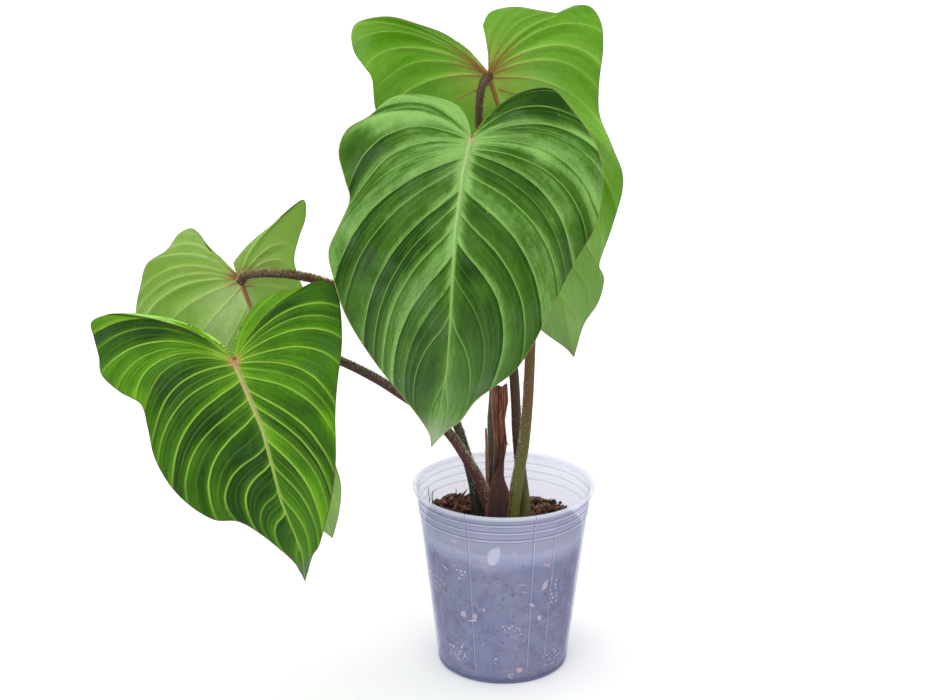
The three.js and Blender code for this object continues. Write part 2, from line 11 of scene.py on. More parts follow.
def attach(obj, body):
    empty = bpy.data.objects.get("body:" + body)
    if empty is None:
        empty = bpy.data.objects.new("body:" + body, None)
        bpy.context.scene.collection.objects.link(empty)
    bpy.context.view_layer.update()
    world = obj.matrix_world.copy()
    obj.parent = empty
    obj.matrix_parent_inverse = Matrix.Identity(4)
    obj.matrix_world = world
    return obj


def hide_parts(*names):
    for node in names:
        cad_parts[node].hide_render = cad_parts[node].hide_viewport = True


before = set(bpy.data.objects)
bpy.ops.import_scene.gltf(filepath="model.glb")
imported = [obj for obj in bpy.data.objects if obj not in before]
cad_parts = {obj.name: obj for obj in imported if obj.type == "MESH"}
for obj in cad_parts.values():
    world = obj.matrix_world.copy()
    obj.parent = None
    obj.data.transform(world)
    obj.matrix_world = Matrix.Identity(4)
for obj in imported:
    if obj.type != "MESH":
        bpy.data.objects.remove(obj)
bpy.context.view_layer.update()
print("frame loaded:", len(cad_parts), "nodes")

mm = 0.001
up = np.array([0.0, 0.0, 1.0])


# Colours and node helpers: every group and material below is built with these

studioLight = 1.3  # how much brighter than its own colour a white card looks in this light


def colour(red, green, blue):
    # how a surface looks in the studio, 0 to 255 as a colour picker shows it, to its own colour
    values = [c / 255 for c in (red, green, blue)]
    linear = [c / 12.92 if c <= 0.04045 else ((c + 0.055) / 1.055) ** 2.4 for c in values]
    return (*[min(0.95, c / studioLight) for c in linear], 1.0)


def socketValue(value):
    # three numbers are a colour as the studio shows it, four are a colour as it is
    return colour(*value) if isinstance(value, tuple) and len(value) == 3 else value


class Nodes:
    # the nodes of one group, material or world

    def __init__(self, tree):
        self.tree = tree

    def fill(self, node, values):
        # links what comes from another node and sets the rest
        for key, value in values.items():
            if isinstance(value, bpy.types.NodeSocket):
                self.tree.links.new(value, node.inputs[key])
            else:
                node.inputs[key].default_value = socketValue(value)

    def put(self, kind, inputs=None, **settings):
        made = self.tree.nodes.new(f"ShaderNode{kind}")
        for key, value in settings.items():
            setattr(made, key, value)
        self.fill(made, inputs or {})
        return made.outputs

    def calc(self, operation, first, second=0.0, third=0.0, clamp=False):
        values = {0: first, 1: second, 2: third}
        return self.put("Math", values, operation=operation, use_clamp=clamp)[0]

    def times(self, first, second, clamp=False):
        return self.calc("MULTIPLY", first, second, clamp=clamp)

    def timesPlus(self, first, second, third, clamp=False):
        return self.calc("MULTIPLY_ADD", first, second, third, clamp)

    def plus(self, first, second):
        return self.calc("ADD", first, second)

    def minus(self, first, second):
        return self.calc("SUBTRACT", first, second)

    def larger(self, first, second):
        return self.calc("MAXIMUM", first, second)

    def vary(self, level, source, amount):
        # a level that goes up and down with a noise around a half
        return self.timesPlus(self.minus(source, 0.5), amount, level)

    def between(self, value, low, high, start=0.0, end=1.0):
        # a soft step from start to end while value goes from low to high
        values = {"Value": value, "From Min": low, "From Max": high, "To Min": start, "To Max": end}
        return self.put("MapRange", values, interpolation_type="SMOOTHSTEP")["Result"]

    def blend(self, share, first, second):
        # a mix node's sockets for colours only go by number
        values = {0: share, 6: first, 7: second}
        return self.put("Mix", values, data_type="RGBA", clamp_factor=True)[2]

    def coats(self, skin, *layers):
        # lays colours over each other, each by its mask
        for mask, coat in layers:
            skin = self.blend(mask, skin, coat)
        return skin

    def read(self, name):
        return self.put("Attribute", attribute_name=name)["Fac"]

    def place(self):
        return self.put("TexCoord")["Object"]

    def vector(self, x, y, z):
        return self.put("CombineXYZ", {0: x, 1: y, 2: z})[0]

    def noiseAt(self, place, scale, detail=2.0, rough=0.5):
        values = {"Vector": place, "Scale": scale, "Detail": detail, "Roughness": rough}
        return self.put("TexNoise", values)["Fac"]

    def cells(self, place, scale, channel, least):
        # how far each point is from the middle of its cell, and 1 in the cells that are drawn
        made = self.put("TexVoronoi", {"Vector": place, "Scale": scale})
        drawn = self.put("SeparateColor", {"Color": made["Color"]})[channel]
        return made["Distance"], self.calc("GREATER_THAN", drawn, least)

    def bump(self, height, strength, distance):
        values = {"Height": height, "Strength": strength, "Distance": distance}
        return self.put("Bump", values)[0]

    def use(self, group, values):
        return self.put("Group", values, node_tree=group)

    def dress(self, values):
        self.fill(self.tree.nodes["Principled BSDF"], values)

    def asGroup(self, results):
        for label in results:
            kind = "NodeSocketColor" if label == "Color" else "NodeSocketFloat"
            self.tree.interface.new_socket(label, in_out="OUTPUT", socket_type=kind)
        self.fill(self.tree.nodes.new("NodeGroupOutput"), results)
        return self.tree


def newGroup(name, inputs):
    tree = bpy.data.node_groups.new(name, "ShaderNodeTree")
    for label, value in inputs.items():
        kind = "NodeSocketColor" if isinstance(value, tuple) else "NodeSocketFloat"
        socket = tree.interface.new_socket(label, in_out="INPUT", socket_type=kind)
        socket.default_value = socketValue(value)
    return Nodes(tree), tree.nodes.new("NodeGroupInput").outputs


def newMaterial(name):
    material = bpy.data.materials.new(name)
    material.use_nodes = True
    return material, Nodes(material.node_tree)


def skinMaterial(name, group, values, strength, distance, rough=None, shine=0.5):
    # colour and relief come from the group, and roughness too where none is given
    material, n = newMaterial(name)
    skin = n.use(group, values)
    n.dress({
        "Base Color": skin["Color"], "Normal": n.bump(skin["Height"], strength, distance),
        "Roughness": skin["Roughness"] if rough is None else rough, "Specular IOR Level": shine,
    })
    return material


# Mesh helpers

def smoothStep(low, high, value):
    x = np.clip((value - low) / (high - low), 0, 1)
    return x * x * (3 - 2 * x)


def curvePoints(points, shares, freeEnds=True):
    # points on a smooth curve through the given ones, spaced evenly along it
    inner = np.array(points, float)
    first = 2 * inner[0] - inner[1] if freeEnds else inner[0]
    last = 2 * inner[-1] - inner[-2] if freeEnds else inner[-1]
    padded = np.vstack([first, inner, last])

    def at(steps):
        place = steps * (len(inner) - 1)
        index = np.minimum(place.astype(int), len(inner) - 2)
        w = (place - index)[:, None]
        before, here, there, after = (padded[index + k] for k in range(4))
        leave = (there - before) / 2
        arrive = (after - here) / 2
        cubic = (2 * here - 2 * there + leave + arrive) * w ** 3
        square = (-3 * here + 3 * there - 2 * leave - arrive) * w ** 2
        return cubic + square + leave * w + here

    steps = np.linspace(0, 1, 201)
    reached = np.concatenate([[0], np.cumsum(np.linalg.norm(np.diff(at(steps), axis=0), axis=1))])
    return at(np.interp(shares, reached / reached[-1], steps))


def unit(vector):
    return vector / np.linalg.norm(vector)


def tubeFrames(centres):
    # a direction out of the curve at each point, which doesn't twist along it
    tangents = np.gradient(centres, axis=0)
    tangents /= np.linalg.norm(tangents, axis=1)[:, None]
    out = unit(np.cross(tangents[0], [0.3, 0.9, 0.2]))
    outs = []
    for tangent in tangents:
        out = unit(out - tangent * out.dot(tangent))
        outs.append(out)
    return tangents, np.array(outs), np.cross(tangents, np.array(outs))


def addTube(bm, centres, radii, sides):
    # a tube along the centres; its ends close where the radius there is nearly nothing
    made = bmesh.ops.create_grid(bm, x_segments=sides, y_segments=len(centres) - 1, size=1)
    outs, others = tubeFrames(centres)[1:]
    place = {}
    for v in made["verts"]:
        turn = (v.co.x + 1) * math.pi
        i = round((v.co.y + 1) / 2 * (len(centres) - 1))
        spoke = outs[i] * math.cos(turn) + others[i] * math.sin(turn)
        v.co = centres[i] + spoke * radii[i]
        place[v] = (i, spoke)
    return made["verts"], place


def pour(bm, part):
    # adds a small bmesh to a large one, which is quicker than making each shape in the large one
    mesh = bpy.data.meshes.new("part")
    part.to_mesh(mesh)
    part.free()
    bm.from_mesh(mesh)
    bpy.data.meshes.remove(mesh)


def spinProfile(bm, points, segments, merge):
    profile = [bm.verts.new((radius, 0, z)) for radius, z in points]
    edges = [bm.edges.new(pair) for pair in zip(profile[:-1], profile[1:])]
    bmesh.ops.spin(bm, geom=profile + edges, axis=(0, 0, 1), cent=(0, 0, 0), dvec=(0, 0, 0),
                   angle=2 * math.pi, steps=segments, use_merge=True)
    bmesh.ops.remove_doubles(bm, verts=bm.verts, dist=merge)


def closeSeams(bm, reach=0.00001):
    bmesh.ops.remove_doubles(bm, verts=bm.verts, dist=reach)
    bmesh.ops.recalc_face_normals(bm, faces=bm.faces)


def floatLayers(bm, *names):
    return {name: bm.verts.layers.float.new(name) for name in names}


def addWall(piece, thickness):
    wall = piece.modifiers.new("wall", "SOLIDIFY")
    wall.thickness = thickness * mm
    wall.offset = -1
    return wall


def capital(name):
    return name[0].upper() + name[1:]


def makePiece(bm, name, materials, nodes=(), smooth=True):
    if smooth:
        for face in bm.faces:
            face.smooth = True
    mesh = bpy.data.meshes.new(name)
    bm.to_mesh(mesh)
    bm.free()
    for material in materials:
        mesh.materials.append(material)
    piece = bpy.data.objects.new(name, mesh)
    bpy.context.scene.collection.objects.link(piece)
    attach(piece, "root")
    if nodes:
        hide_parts(*nodes)
    return piece


# Leaf finishes

def veinLinesGroup():
    # lines where the vein phase passes a whole number, each with its own strength
    n, given = newGroup("veinLines", {
        "Phase": 0.0, "Gap": 10.0, "Lines": 1.0, "Width": 0.4, "Weakest": 0.5, "Seed": 0.0})
    counted = n.times(given["Phase"], given["Lines"])
    nearest = n.calc("ROUND", counted)
    offset = n.calc("ABSOLUTE", n.minus(counted, nearest))
    away = n.times(offset, n.calc("DIVIDE", given["Gap"], given["Lines"]))
    draw = n.put("TexWhiteNoise", {"W": n.plus(nearest, given["Seed"])}, noise_dimensions="1D")["Value"]
    line = n.between(away, n.times(given["Width"], 0.35), given["Width"], 1, 0)
    return n.asGroup({"Mask": n.times(line, n.between(draw, 0, 1, given["Weakest"], 1)), "Away": away})


def bladeSkinGroup(veinLines):
    n, given = newGroup("bladeSkin", {
        "Deep": (40, 78, 34), "Mid": (70, 120, 55), "Light": (110, 160, 80), "Vein": (150, 185, 110),
        "Rib": (165, 195, 125), "Attach": (150, 160, 90), "Margin": (170, 165, 100), "Tip": (150, 175, 140),
        "Vein Width": 0.55, "Vein Strength": 0.8, "Rib Width": 2.2, "Rib Reach": 120.0, "Rib Halo": 0.25,
        "Halo": 0.3, "Halo Reach": 2.0, "Crease Shade": 0.0, "Blotch": 1.0, "Calm": 0.0, "Cloud": 0.4,
        "Base Level": 0.42, "Shade": 0.46, "Painted Sheen": 0.1, "Painted Sheen Tone": (160, 185, 150), "Lower Painted Sheen": 0.16,
        "Attach Reach": 5.0, "Relief": -1.0, "Sheen Patches": 0.5, "Seed": 0.0,
    })
    place = n.place()
    phase = n.plus(n.read("veinPhase"), n.times(n.minus(n.noiseAt(place, 55), 0.5), 0.12))
    gap, along, fromRib, fromMargin, fromAttach, down, power = (n.read(name) for name in (
        "veinGap", "alongVein", "fromRib", "fromMargin", "fromAttach", "downBlade", "veinPower"))
    sideSeed = n.timesPlus(n.read("bladeSide"), 31.7, given["Seed"])

    def lines(count, share, weakest, shift=0.0):
        return n.use(veinLines, {
            "Phase": n.plus(phase, shift), "Gap": gap, "Lines": count, "Weakest": weakest,
            "Seed": sideSeed, "Width": n.times(given["Vein Width"], share),
        })

    main = lines(1, 1, 1)
    fine = lines(9, 0.75, 0)["Mask"]
    veins = n.times(main["Mask"], power)
    veins = n.larger(veins, n.times(lines(1, 0.8, 0, 0.5)["Mask"], 0.2))
    veins = n.larger(veins, n.times(lines(2, 0.7, 0, 0.25)["Mask"], 0.1))
    veins = n.times(veins, n.between(fromMargin, 0, 16, 0.3, 1))

    # streaks that follow the veins, with small cross puckers
    streak = n.noiseAt(n.vector(n.times(phase, 1.7), n.times(along, 0.024), sideSeed), 1.6, 3, 0.45)
    pucker = n.noiseAt(n.vector(n.times(phase, 2), n.times(along, 0.16), sideSeed), 2)
    grain = n.noiseAt(place, 900, 3, 0.7)
    cloud = n.noiseAt(place, 24)

    # each vein has a pale halo; the listed tones above and below it are painted light and shade of the
    # quilted blade
    halo = n.times(given["Halo"], n.between(main["Away"], 0, given["Halo Reach"], 1, 0))
    atEdge = n.times(given["Calm"], n.between(fromMargin, 5, 40, 1, 0))
    halo = n.times(halo, n.timesPlus(atEdge, -1, power, clamp=True))
    # painted shade: a dark crease shadow runs along the lower side of each vein
    lowerSide = n.calc("LESS_THAN", n.calc("FRACT", phase), 0.5)
    creaseShade = n.times(n.between(main["Away"], 0.3, 0.8), n.between(main["Away"], 0.9, 2.6, 1, 0))
    creaseShade = n.times(n.times(creaseShade, lowerSide), n.times(given["Crease Shade"], power))
    calm = n.times(given["Calm"], n.between(down, 0.4, 0.75))
    blotch = n.times(given["Blotch"], n.timesPlus(calm, -0.8, 0.8))
    level = given["Base Level"]
    for source, amount in ((streak, blotch), (cloud, given["Cloud"]), (pucker, 0.3), (grain, 0.3)):
        level = n.vary(level, source, amount)
    # painted light and shade: the listed vein tones and the broad areas, the areas partly the leaf's own
    # blotches
    level = n.plus(level, n.times(given["Shade"], n.read("bladeShadeTone")))
    level = n.plus(level, n.minus(halo, creaseShade))
    ribHalo = n.times(n.between(fromRib, 0, 8, 1, 0), n.between(down, 0.1, 0.8, 1, 0.35))
    level = n.timesPlus(ribHalo, given["Rib Halo"], level)
    level = n.plus(level, n.between(fromAttach, 4, 26, 0.2, 0))
    level = n.timesPlus(fine, 0.08, level, clamp=True)

    ribWidth = n.times(given["Rib Width"], n.between(down, 0, 1, 1, 0.22))
    ribMask = n.between(fromRib, n.times(ribWidth, 0.35), ribWidth, 1, 0)
    ribTone = n.blend(n.between(fromAttach, 0, given["Rib Reach"]), given["Rib"], given["Vein"])
    toward = n.between(fromAttach, 1, given["Attach Reach"], 0.9, 0)
    onVeins = n.larger(n.larger(veins, ribMask), 0.3)
    # painted sheen: pale patches, and more towards the tip
    paintedSheen = n.times(n.between(n.noiseAt(place, 38, 5), 0.5, 0.72), given["Painted Sheen"])
    paintedSheen = n.plus(paintedSheen, n.between(down, 0.4, 1, 0, given["Lower Painted Sheen"]))
    # painted sheen at the tip of the blade
    tipSheenMask = n.times(n.between(down, 0.88, 1), n.between(cloud, 0.3, 0.6, 0.4, 0.9))
    marginMask = n.times(n.between(fromMargin, 0.25, 0.75, 1, 0), n.between(fromAttach, 30, 75, 0.15, 0.85))
    fromDot, hasDot = n.cells(place, 95, 0, 0.72)
    dotMask = n.times(n.between(fromDot, 0.02, 0.055, 1, 0), hasDot)
    skin = n.coats(
        given["Deep"],
        (n.times(level, 2, clamp=True), given["Mid"]),
        (n.timesPlus(level, 2, -1, clamp=True), given["Light"]),
        (n.times(veins, given["Vein Strength"]), given["Vein"]),
        (n.times(ribMask, 0.9), ribTone),
        (n.times(toward, onVeins), given["Attach"]),
        (paintedSheen, given["Painted Sheen Tone"]),
        (tipSheenMask, given["Tip"]),
        (marginMask, given["Margin"]),
        (n.times(dotMask, 0.45), (190, 205, 170)),
    )

    sheen = n.times(given["Sheen Patches"], -0.22)
    rough = n.timesPlus(n.between(cloud, 0.42, 0.62), sheen, n.vary(0.52, grain, 0.3))
    raised = n.times(n.larger(veins, n.times(ribMask, 0.7)), given["Relief"])
    height = n.timesPlus(grain, 0.16, n.timesPlus(pucker, 1.3, raised))
    height = n.timesPlus(fine, n.times(given["Relief"], 0.22), height)
    return n.asGroup({"Color": skin, "Roughness": rough, "Height": height})


bladeFinishes = {
    "leafUpper": {
        "Deep": (32, 70, 8), "Mid": (74, 120, 34), "Light": (146, 196, 104),
        "Vein": (152, 202, 96), "Rib": (184, 220, 142), "Attach": (206, 200, 130),
        "Margin": (182, 186, 120), "Tip": (200, 216, 190), "Seed": 3.0, "Base Level": 0.46,
        "Halo": 0.26, "Halo Reach": 2.4, "Lower Painted Sheen": 0.12, "Rib Halo": 0.55, "Calm": 0.6, "Crease Shade": 0.3,
    },
    "leafUpperBright": {
        "Deep": (26, 64, 3), "Mid": (64, 116, 4), "Light": (108, 168, 16),
        "Vein": (156, 194, 76), "Rib": (190, 180, 120), "Attach": (216, 140, 106),
        "Margin": (110, 90, 60), "Tip": (96, 118, 108), "Vein Width": 0.95,
        "Vein Strength": 0.78, "Blotch": 0.8, "Rib Reach": 120.0, "Attach Reach": 7.0, "Seed": 9.0,
        "Base Level": 0.38, "Halo": 0.3, "Halo Reach": 3.8, "Crease Shade": 0.25, "Lower Painted Sheen": 0.1,
        "Painted Sheen Tone": (90, 128, 84),
    },
    # the underside tones are lifted to paint the light that shines through the leaf, on top of its own
    # paler colour
    "leafUnder": {
        "Deep": (100, 166, 22), "Mid": (140, 202, 68), "Light": (174, 232, 104),
        "Vein": (172, 222, 84), "Rib": (176, 124, 50), "Attach": (206, 150, 70),
        "Margin": (130, 160, 110), "Tip": (140, 165, 110), "Vein Width": 0.7,
        "Vein Strength": 0.6, "Blotch": 0.6, "Rib Reach": 90.0, "Attach Reach": 34.0,
        "Lower Painted Sheen": 0.4, "Painted Sheen Tone": (188, 214, 164),
        "Relief": 0.7, "Sheen Patches": 0.2, "Seed": 21.0, "Rib Width": 1.8,
    },
    # lifted the same way to paint the light that shines through the leaf
    "leafUnderPale": {
        "Deep": (140, 190, 62), "Mid": (168, 212, 100), "Light": (206, 240, 160),
        "Vein": (200, 234, 108), "Rib": (186, 124, 64), "Attach": (206, 150, 74),
        "Margin": (150, 176, 126), "Tip": (150, 175, 130), "Vein Width": 0.8,
        "Vein Strength": 0.7, "Blotch": 0.5, "Rib Reach": 60.0, "Attach Reach": 14.0,
        "Relief": 0.7, "Sheen Patches": 0.2, "Seed": 37.0, "Rib Width": 1.6,
    },
}

bladeSkin = bladeSkinGroup(veinLinesGroup())
bladeMaterials = {name: skinMaterial(name, bladeSkin, values, 0.8, 0.0004, shine=0.07)
                  for name, values in bladeFinishes.items()}
print("leaf materials ready")


# Blades. Each half is a fan of side veins, from the sinus over the lobe and down to the tip.
# t runs along the margin, f from the midrib out to it.
# A vein is listed as: t at the margin, its start as a share of the midrib, how much it bows, how light
# the blade is painted just above and just below it, from -1 for darkest to 1 for lightest, and its
# strength;
# these tones are painted light and shade of the quilted blade between the veins.
# Areas are broad painted light and shade, partly the leaf's own dark blotches: across and along the flat
# blade, radius, amount.

blade = {
    "thickness": 0.6, "ridge": 1.5, "ridgeWidth": 2.2, "quilt": 2.1, "pucker": 0.5, "undulation": 2.2,
    "ridgeFade": 0.85, "turnTip": 0.045, "runBeside": 0.25, "leaveBy": 0.06, "firstGap": 0.08,
    "lastGap": 0.05, "sinusReach": 0.12, "marginCalm": 12, "dropWidth": 80, "pillowRoom": 30,
    "acrossCells": 52, "alongCells": 270,
}

leaves = {
    "front": {
        "attach": [-21.7, -50, 365.6], "tip": [-45.2, -113.5, 194],
        "upper": [0.02, -0.96, 0.28], "bulge": [0, -0.98, 0.21],
        "left": [[10, -19], [22, -22], [38, -22], [51, -18], [62, -6], [74, 4], [77, 18], [71, 34],
                 [67, 46], [72, 64], [75, 77], [70, 92], [59, 115], [42, 136], [19, 158], [7, 171],
                 [2, 178], [0, 185]],
        "right": [[14, -23], [28, -33], [44, -37], [56, -28], [70, -13], [79, 3], [82, 24], [80, 44],
                  [71, 64], [60, 92], [53, 114], [44, 132], [32, 144], [22, 154], [15, 167], [8, 174],
                  [0, 185]],
        "leftVeins": [
            [0.04, 0, 0.2, 1, 0.9, 0.6], [0.145, 0, 0.26, 0.5, -0.4, 0.8], [0.2, 0, 0.3, -0.3, 0.6, 0.4],
            [0.35, 0.005, 0.42, -0.1, -0.7, 1], [0.395, 0.015, 0.32, 0.5, 0, 1],
            [0.435, 0.03, 0.25, 0.2, 0.2, 0.4], [0.55, 0.06, 0.21, 0.6, -0.7, 1],
            [0.61, 0.095, 0.2, 0.2, -0.3, 0.7], [0.7, 0.175, 0.19, 0.3, -0.9, 1],
            [0.735, 0.215, 0.18, -0.3, -0.6, 0.6], [0.765, 0.29, 0.17, 0.2, 0.1, 0.9],
            [0.8, 0.385, 0.13, 0.6, -0.4, 1], [0.84, 0.47, 0.12, 0.2, -0.5, 0.5],
            [0.87, 0.585, 0.14, -0.5, -0.4, 0.6], [0.95, 0.8, 0.1, 0.1, 0.1, 0.4]],
        "rightVeins": [
            [0.02, 0, 0.1, -0.3, -0.6, 0.4], [0.09, 0, 0.18, -0.7, -0.8, 0.5],
            [0.16, 0, 0.26, -0.3, -0.6, 0.9], [0.235, 0, 0.21, 0.7, 0, 1],
            [0.28, 0.004, 0.24, 0.3, 0.3, 0.4], [0.365, 0.01, 0.3, 0.6, 0.5, 1],
            [0.425, 0.035, 0.28, -0.6, -0.2, 0.8], [0.485, 0.045, 0.25, 0.1, -0.6, 1],
            [0.51, 0.07, 0.22, -0.3, -0.5, 0.4], [0.54, 0.115, 0.2, -0.1, 0.1, 0.8],
            [0.62, 0.17, 0.19, 0.3, -0.6, 1], [0.705, 0.255, 0.24, -0.3, -0.4, 1],
            [0.79, 0.345, 0.3, 0.2, -0.7, 1], [0.835, 0.46, 0.24, -0.4, -0.5, 0.3],
            [0.87, 0.595, 0.2, -0.2, 0, 0.6], [0.95, 0.8, 0.1, 0.1, 0.1, 0.4]],
        "sway": [[0, 0], [0.1, -1.8], [0.3, -2.1], [0.45, -0.3], [0.6, 1.8], [0.75, 3.4], [0.9, 1.8],
                 [1, 0]],
        "shadeAndBlotchAreas": [[-22, -4, 20, 0.6], [-69, 17, 12, -0.5], [42, -22, 13, -0.5], [42, 6, 9, 0.6],
                  [-6, 25, 17, 0.35], [-54, 81, 14, -0.5], [-28, 77, 10, -0.6], [5, 116, 9, -0.5],
                  [-6, 145, 12, -0.45], [17, 88, 8, 0.5], [42, 52, 10, -0.3], [12, 167, 9, 0.4],
                  [-60, -8, 11, 0.3], [52, 22, 12, 0.3], [-20, 66, 5, -0.5], [-30, 77, 4, -0.5],
                  [-40, 89, 6, -0.4], [-36, -7, 12, 0.4], [-50, -1, 9, 0.4], [-67, 60, 8, 0.3],
                  [6, 75, 6, -0.4], [-18, 119, 6, -0.5], [-9, 8, 7, 0.3], [58, 38, 9, 0.35]],
        "sinusBow": [0, 0], "arch": 9, "fold": 0.1, "droop": 12, "wave": 4, "waves": 3.5, "wavePhase": 0.2,
        "finishes": ["leafUpper", "leafUnder"], "node": "leaf_front", "slot": "leaf_upper",
    },
    "back": {
        "attach": [-10.4, 14, 392.5], "tip": [48, 55, 194],
        "upper": [0, 0.98, 0.1], "bulge": [0.01, 0.98, -0.18],
        "left": [[5, -32], [12, -39], [27, -38], [42, -31], [54, -26], [64, -28], [72, -24],
                 [75, -12], [72, 4], [65, 24], [60, 46], [62, 68], [64, 88], [60, 104], [48, 126],
                 [34, 148], [34, 160], [26, 176], [12, 190], [0, 211]],
        "right": [[8, -19], [18, -33], [32, -44], [48, -54], [66, -56], [73, -50], [75, -38], [72, -27],
                  [70, -18], [74, 0], [75, 22], [72, 50], [68, 76], [59, 104], [48, 126], [34, 150],
                  [23, 172], [14, 188], [4, 202], [0, 211]],
        "leftVeins": [
            [0.03, 0, 0.1, 0.2, 0.2, 0.4], [0.09, 0, 0.1, -0.1, -0.2, 0.6],
            [0.13, 0, 0.12, 0.3, -0.7, 0.7], [0.235, 0, 0.22, -0.4, -0.5, 0.8],
            [0.3, 0, 0.24, 0.3, -0.2, 1], [0.345, 0.005, 0.24, 0, -0.2, 0.6],
            [0.43, 0.012, 0.22, 0.1, 0.2, 1], [0.52, 0.05, 0.2, 0, 0.1, 0.4],
            [0.61, 0.13, 0.2, 0.2, -0.6, 0.6], [0.7, 0.26, 0.2, -0.4, -0.1, 0.4],
            [0.78, 0.4, 0.2, 0.3, 0.2, 0.5], [0.86, 0.6, 0.18, -0.2, -0.3, 0.6],
            [0.93, 0.8, 0.12, 0, 0, 0.4]],
        "rightVeins": [
            [0.11, 0, 0.1, 0.3, -0.3, 0.6], [0.165, 0, 0.12, -0.6, 0.2, 0.9], [0.2, 0, 0.16, 0, -0.2, 0.4],
            [0.25, 0, 0.2, 0, 0.1, 0.9], [0.3, 0.003, 0.24, -0.3, -0.2, 0.4],
            [0.365, 0.006, 0.22, 0.1, 0, 0.9], [0.47, 0.03, 0.2, -0.2, 0.3, 0.7],
            [0.58, 0.12, 0.2, 0, 0, 0.5], [0.68, 0.24, 0.2, 0.1, -0.2, 0.5], [0.77, 0.4, 0.2, 0, 0, 0.5],
            [0.85, 0.58, 0.18, 0, -0.1, 0.5], [0.92, 0.77, 0.12, 0.1, 0, 0.4]],
        "sway": [[0, 0], [0.5, -1.5], [0.8, -3], [1, 0]],
        "shadeAndBlotchAreas": [[44, -44, 23, -0.8], [5, -2, 20, 0.6], [-26, 1, 16, 0.5]],
        "sinusBow": [-0.16, 0], "arch": 8, "fold": 0.08, "droop": 12, "wave": 4, "waves": 4,
        "wavePhase": 0.5, "finishes": ["leafUpper", "leafUnder"], "node": "leaf_back", "slot": "leaf_under",
    },
    "leftFront": {
        "attach": [-163.3, -88, 238.8], "tip": [-114.9, -196, 144.9],
        "upper": [-0.08, -0.72, 0.69], "bulge": [0.12, -0.94, 0.31],
        "left": [[14, -23], [31, -41], [50, -54], [65, -61], [76, -60], [77, -48], [77, -34], [78, -21],
                 [70, -6], [60, 7], [60, 24], [61, 44], [57, 64], [49, 81], [38, 95], [26, 101],
                 [17, 112], [8, 127], [2, 139], [0, 151]],
        "right": [[7, -16], [14, -26], [25, -34], [38, -36], [52, -34], [66, -34], [72, -26], [71, -12],
                  [64, 12], [54, 36], [46, 58], [38, 84], [28, 108], [15, 131], [8, 138], [0, 151]],
        "leftVeins": [
            [0.23, 0, 0.25, 0.8, -1, 1], [0.26, 0, 0.26, -0.7, -0.5, 0.5], [0.32, 0, 0.28, -0.2, 0.3, 1],
            [0.37, 0.003, 0.36, 0.4, 0.4, 0.6], [0.415, 0.006, 0.42, 0.4, 0.1, 1],
            [0.445, 0.01, 0.42, 0.2, -0.3, 0.6], [0.525, 0.02, 0.38, -0.6, -0.5, 1],
            [0.565, 0.06, 0.3, -0.3, -0.4, 0.8], [0.625, 0.1, 0.22, -0.2, -0.9, 1],
            [0.665, 0.2, 0.2, -0.6, -0.3, 0.8], [0.74, 0.27, 0.28, -0.4, -0.3, 1],
            [0.77, 0.44, 0.34, -0.5, -0.9, 0.8], [0.82, 0.49, 0.32, -0.4, -0.7, 1],
            [0.85, 0.63, 0.3, -0.6, -0.7, 0.4], [0.89, 0.71, 0.3, -0.3, -0.7, 0.9],
            [0.96, 0.86, 0.2, -0.2, -0.2, 0.4]],
        "rightVeins": [
            [0.1, 0, 0.1, 0.7, 0.5, 0.6], [0.165, 0, 0.1, 0.7, 0.2, 0.6], [0.19, 0, 0.14, 0.3, -0.7, 0.7],
            [0.3, 0, 0.25, -0.6, -0.2, 1], [0.335, 0.002, 0.24, -0.6, 0.1, 0.6],
            [0.375, 0.004, 0.21, 0.1, -0.2, 1], [0.44, 0.008, 0.16, -0.1, 0.1, 0.9],
            [0.545, 0.015, 0.24, -0.1, -0.3, 1], [0.58, 0.04, 0.22, 0, 0, 0.4],
            [0.615, 0.08, 0.2, 0.1, -0.1, 0.8], [0.705, 0.15, 0.12, -0.6, -0.5, 1],
            [0.755, 0.22, 0.12, -0.4, -0.5, 0.9], [0.79, 0.3, 0.12, -0.1, 0.5, 0.5],
            [0.845, 0.38, 0.12, 0.2, -0.3, 1], [0.875, 0.5, 0.1, -0.3, -0.3, 0.6],
            [0.92, 0.63, 0.1, -0.2, -0.2, 0.6], [0.965, 0.82, 0.06, -0.2, -0.2, 0.4]],
        "sway": [[0, 0], [0.2, 2.1], [0.33, 3.6], [0.5, 2.4], [0.65, 1], [0.8, 2.6], [0.9, 3], [1, 0]],
        "shadeAndBlotchAreas": [[-45, -32, 10, -0.45], [-41, 4, 14, -0.5], [-13, 21, 9, 0.35], [9, 31, 9, 0.3],
                  [21, 75, 12, -0.6], [42, 45, 9, -0.35], [-15, 64, 9, -0.5], [34, 28, 8, 0.3],
                  [60, -26, 12, 0.55], [-4, 75, 8, -0.5], [-23, 40, 8, -0.5], [36, -1, 8, 0.35],
                  [-63, 3, 8, 0.5], [-44, -37, 8, -0.4], [42, 59, 6, 0.4]],
        "sinusBow": [0, 0], "arch": 7, "fold": 0.1, "droop": 8, "wave": 3, "waves": 3.5, "wavePhase": 0.7,
        "finishes": ["leafUpperBright", "leafUnder"], "node": "leaf_left_front",
        "slot": "leaf_upper_bright",
    },
    "leftBack": {
        "attach": [-165.7, -18, 269.5], "tip": [-114.3, 6, 85],
        "upper": [-0.1, 0.95, 0.2], "bulge": [-0.12, 0.96, -0.27],
        "left": [[-1, -12], [7, -18], [18, -24], [32, -30], [52, -39], [51, -28], [43, -16], [36, -3],
                 [35, 10], [36, 26], [37, 50], [36, 74], [30, 100], [22, 124], [18, 142], [17, 160],
                 [9, 180], [0, 195]],
        "right": [[14, -34], [18, -41], [27, -40], [38, -32], [52, -27], [61, -14], [68, -2],
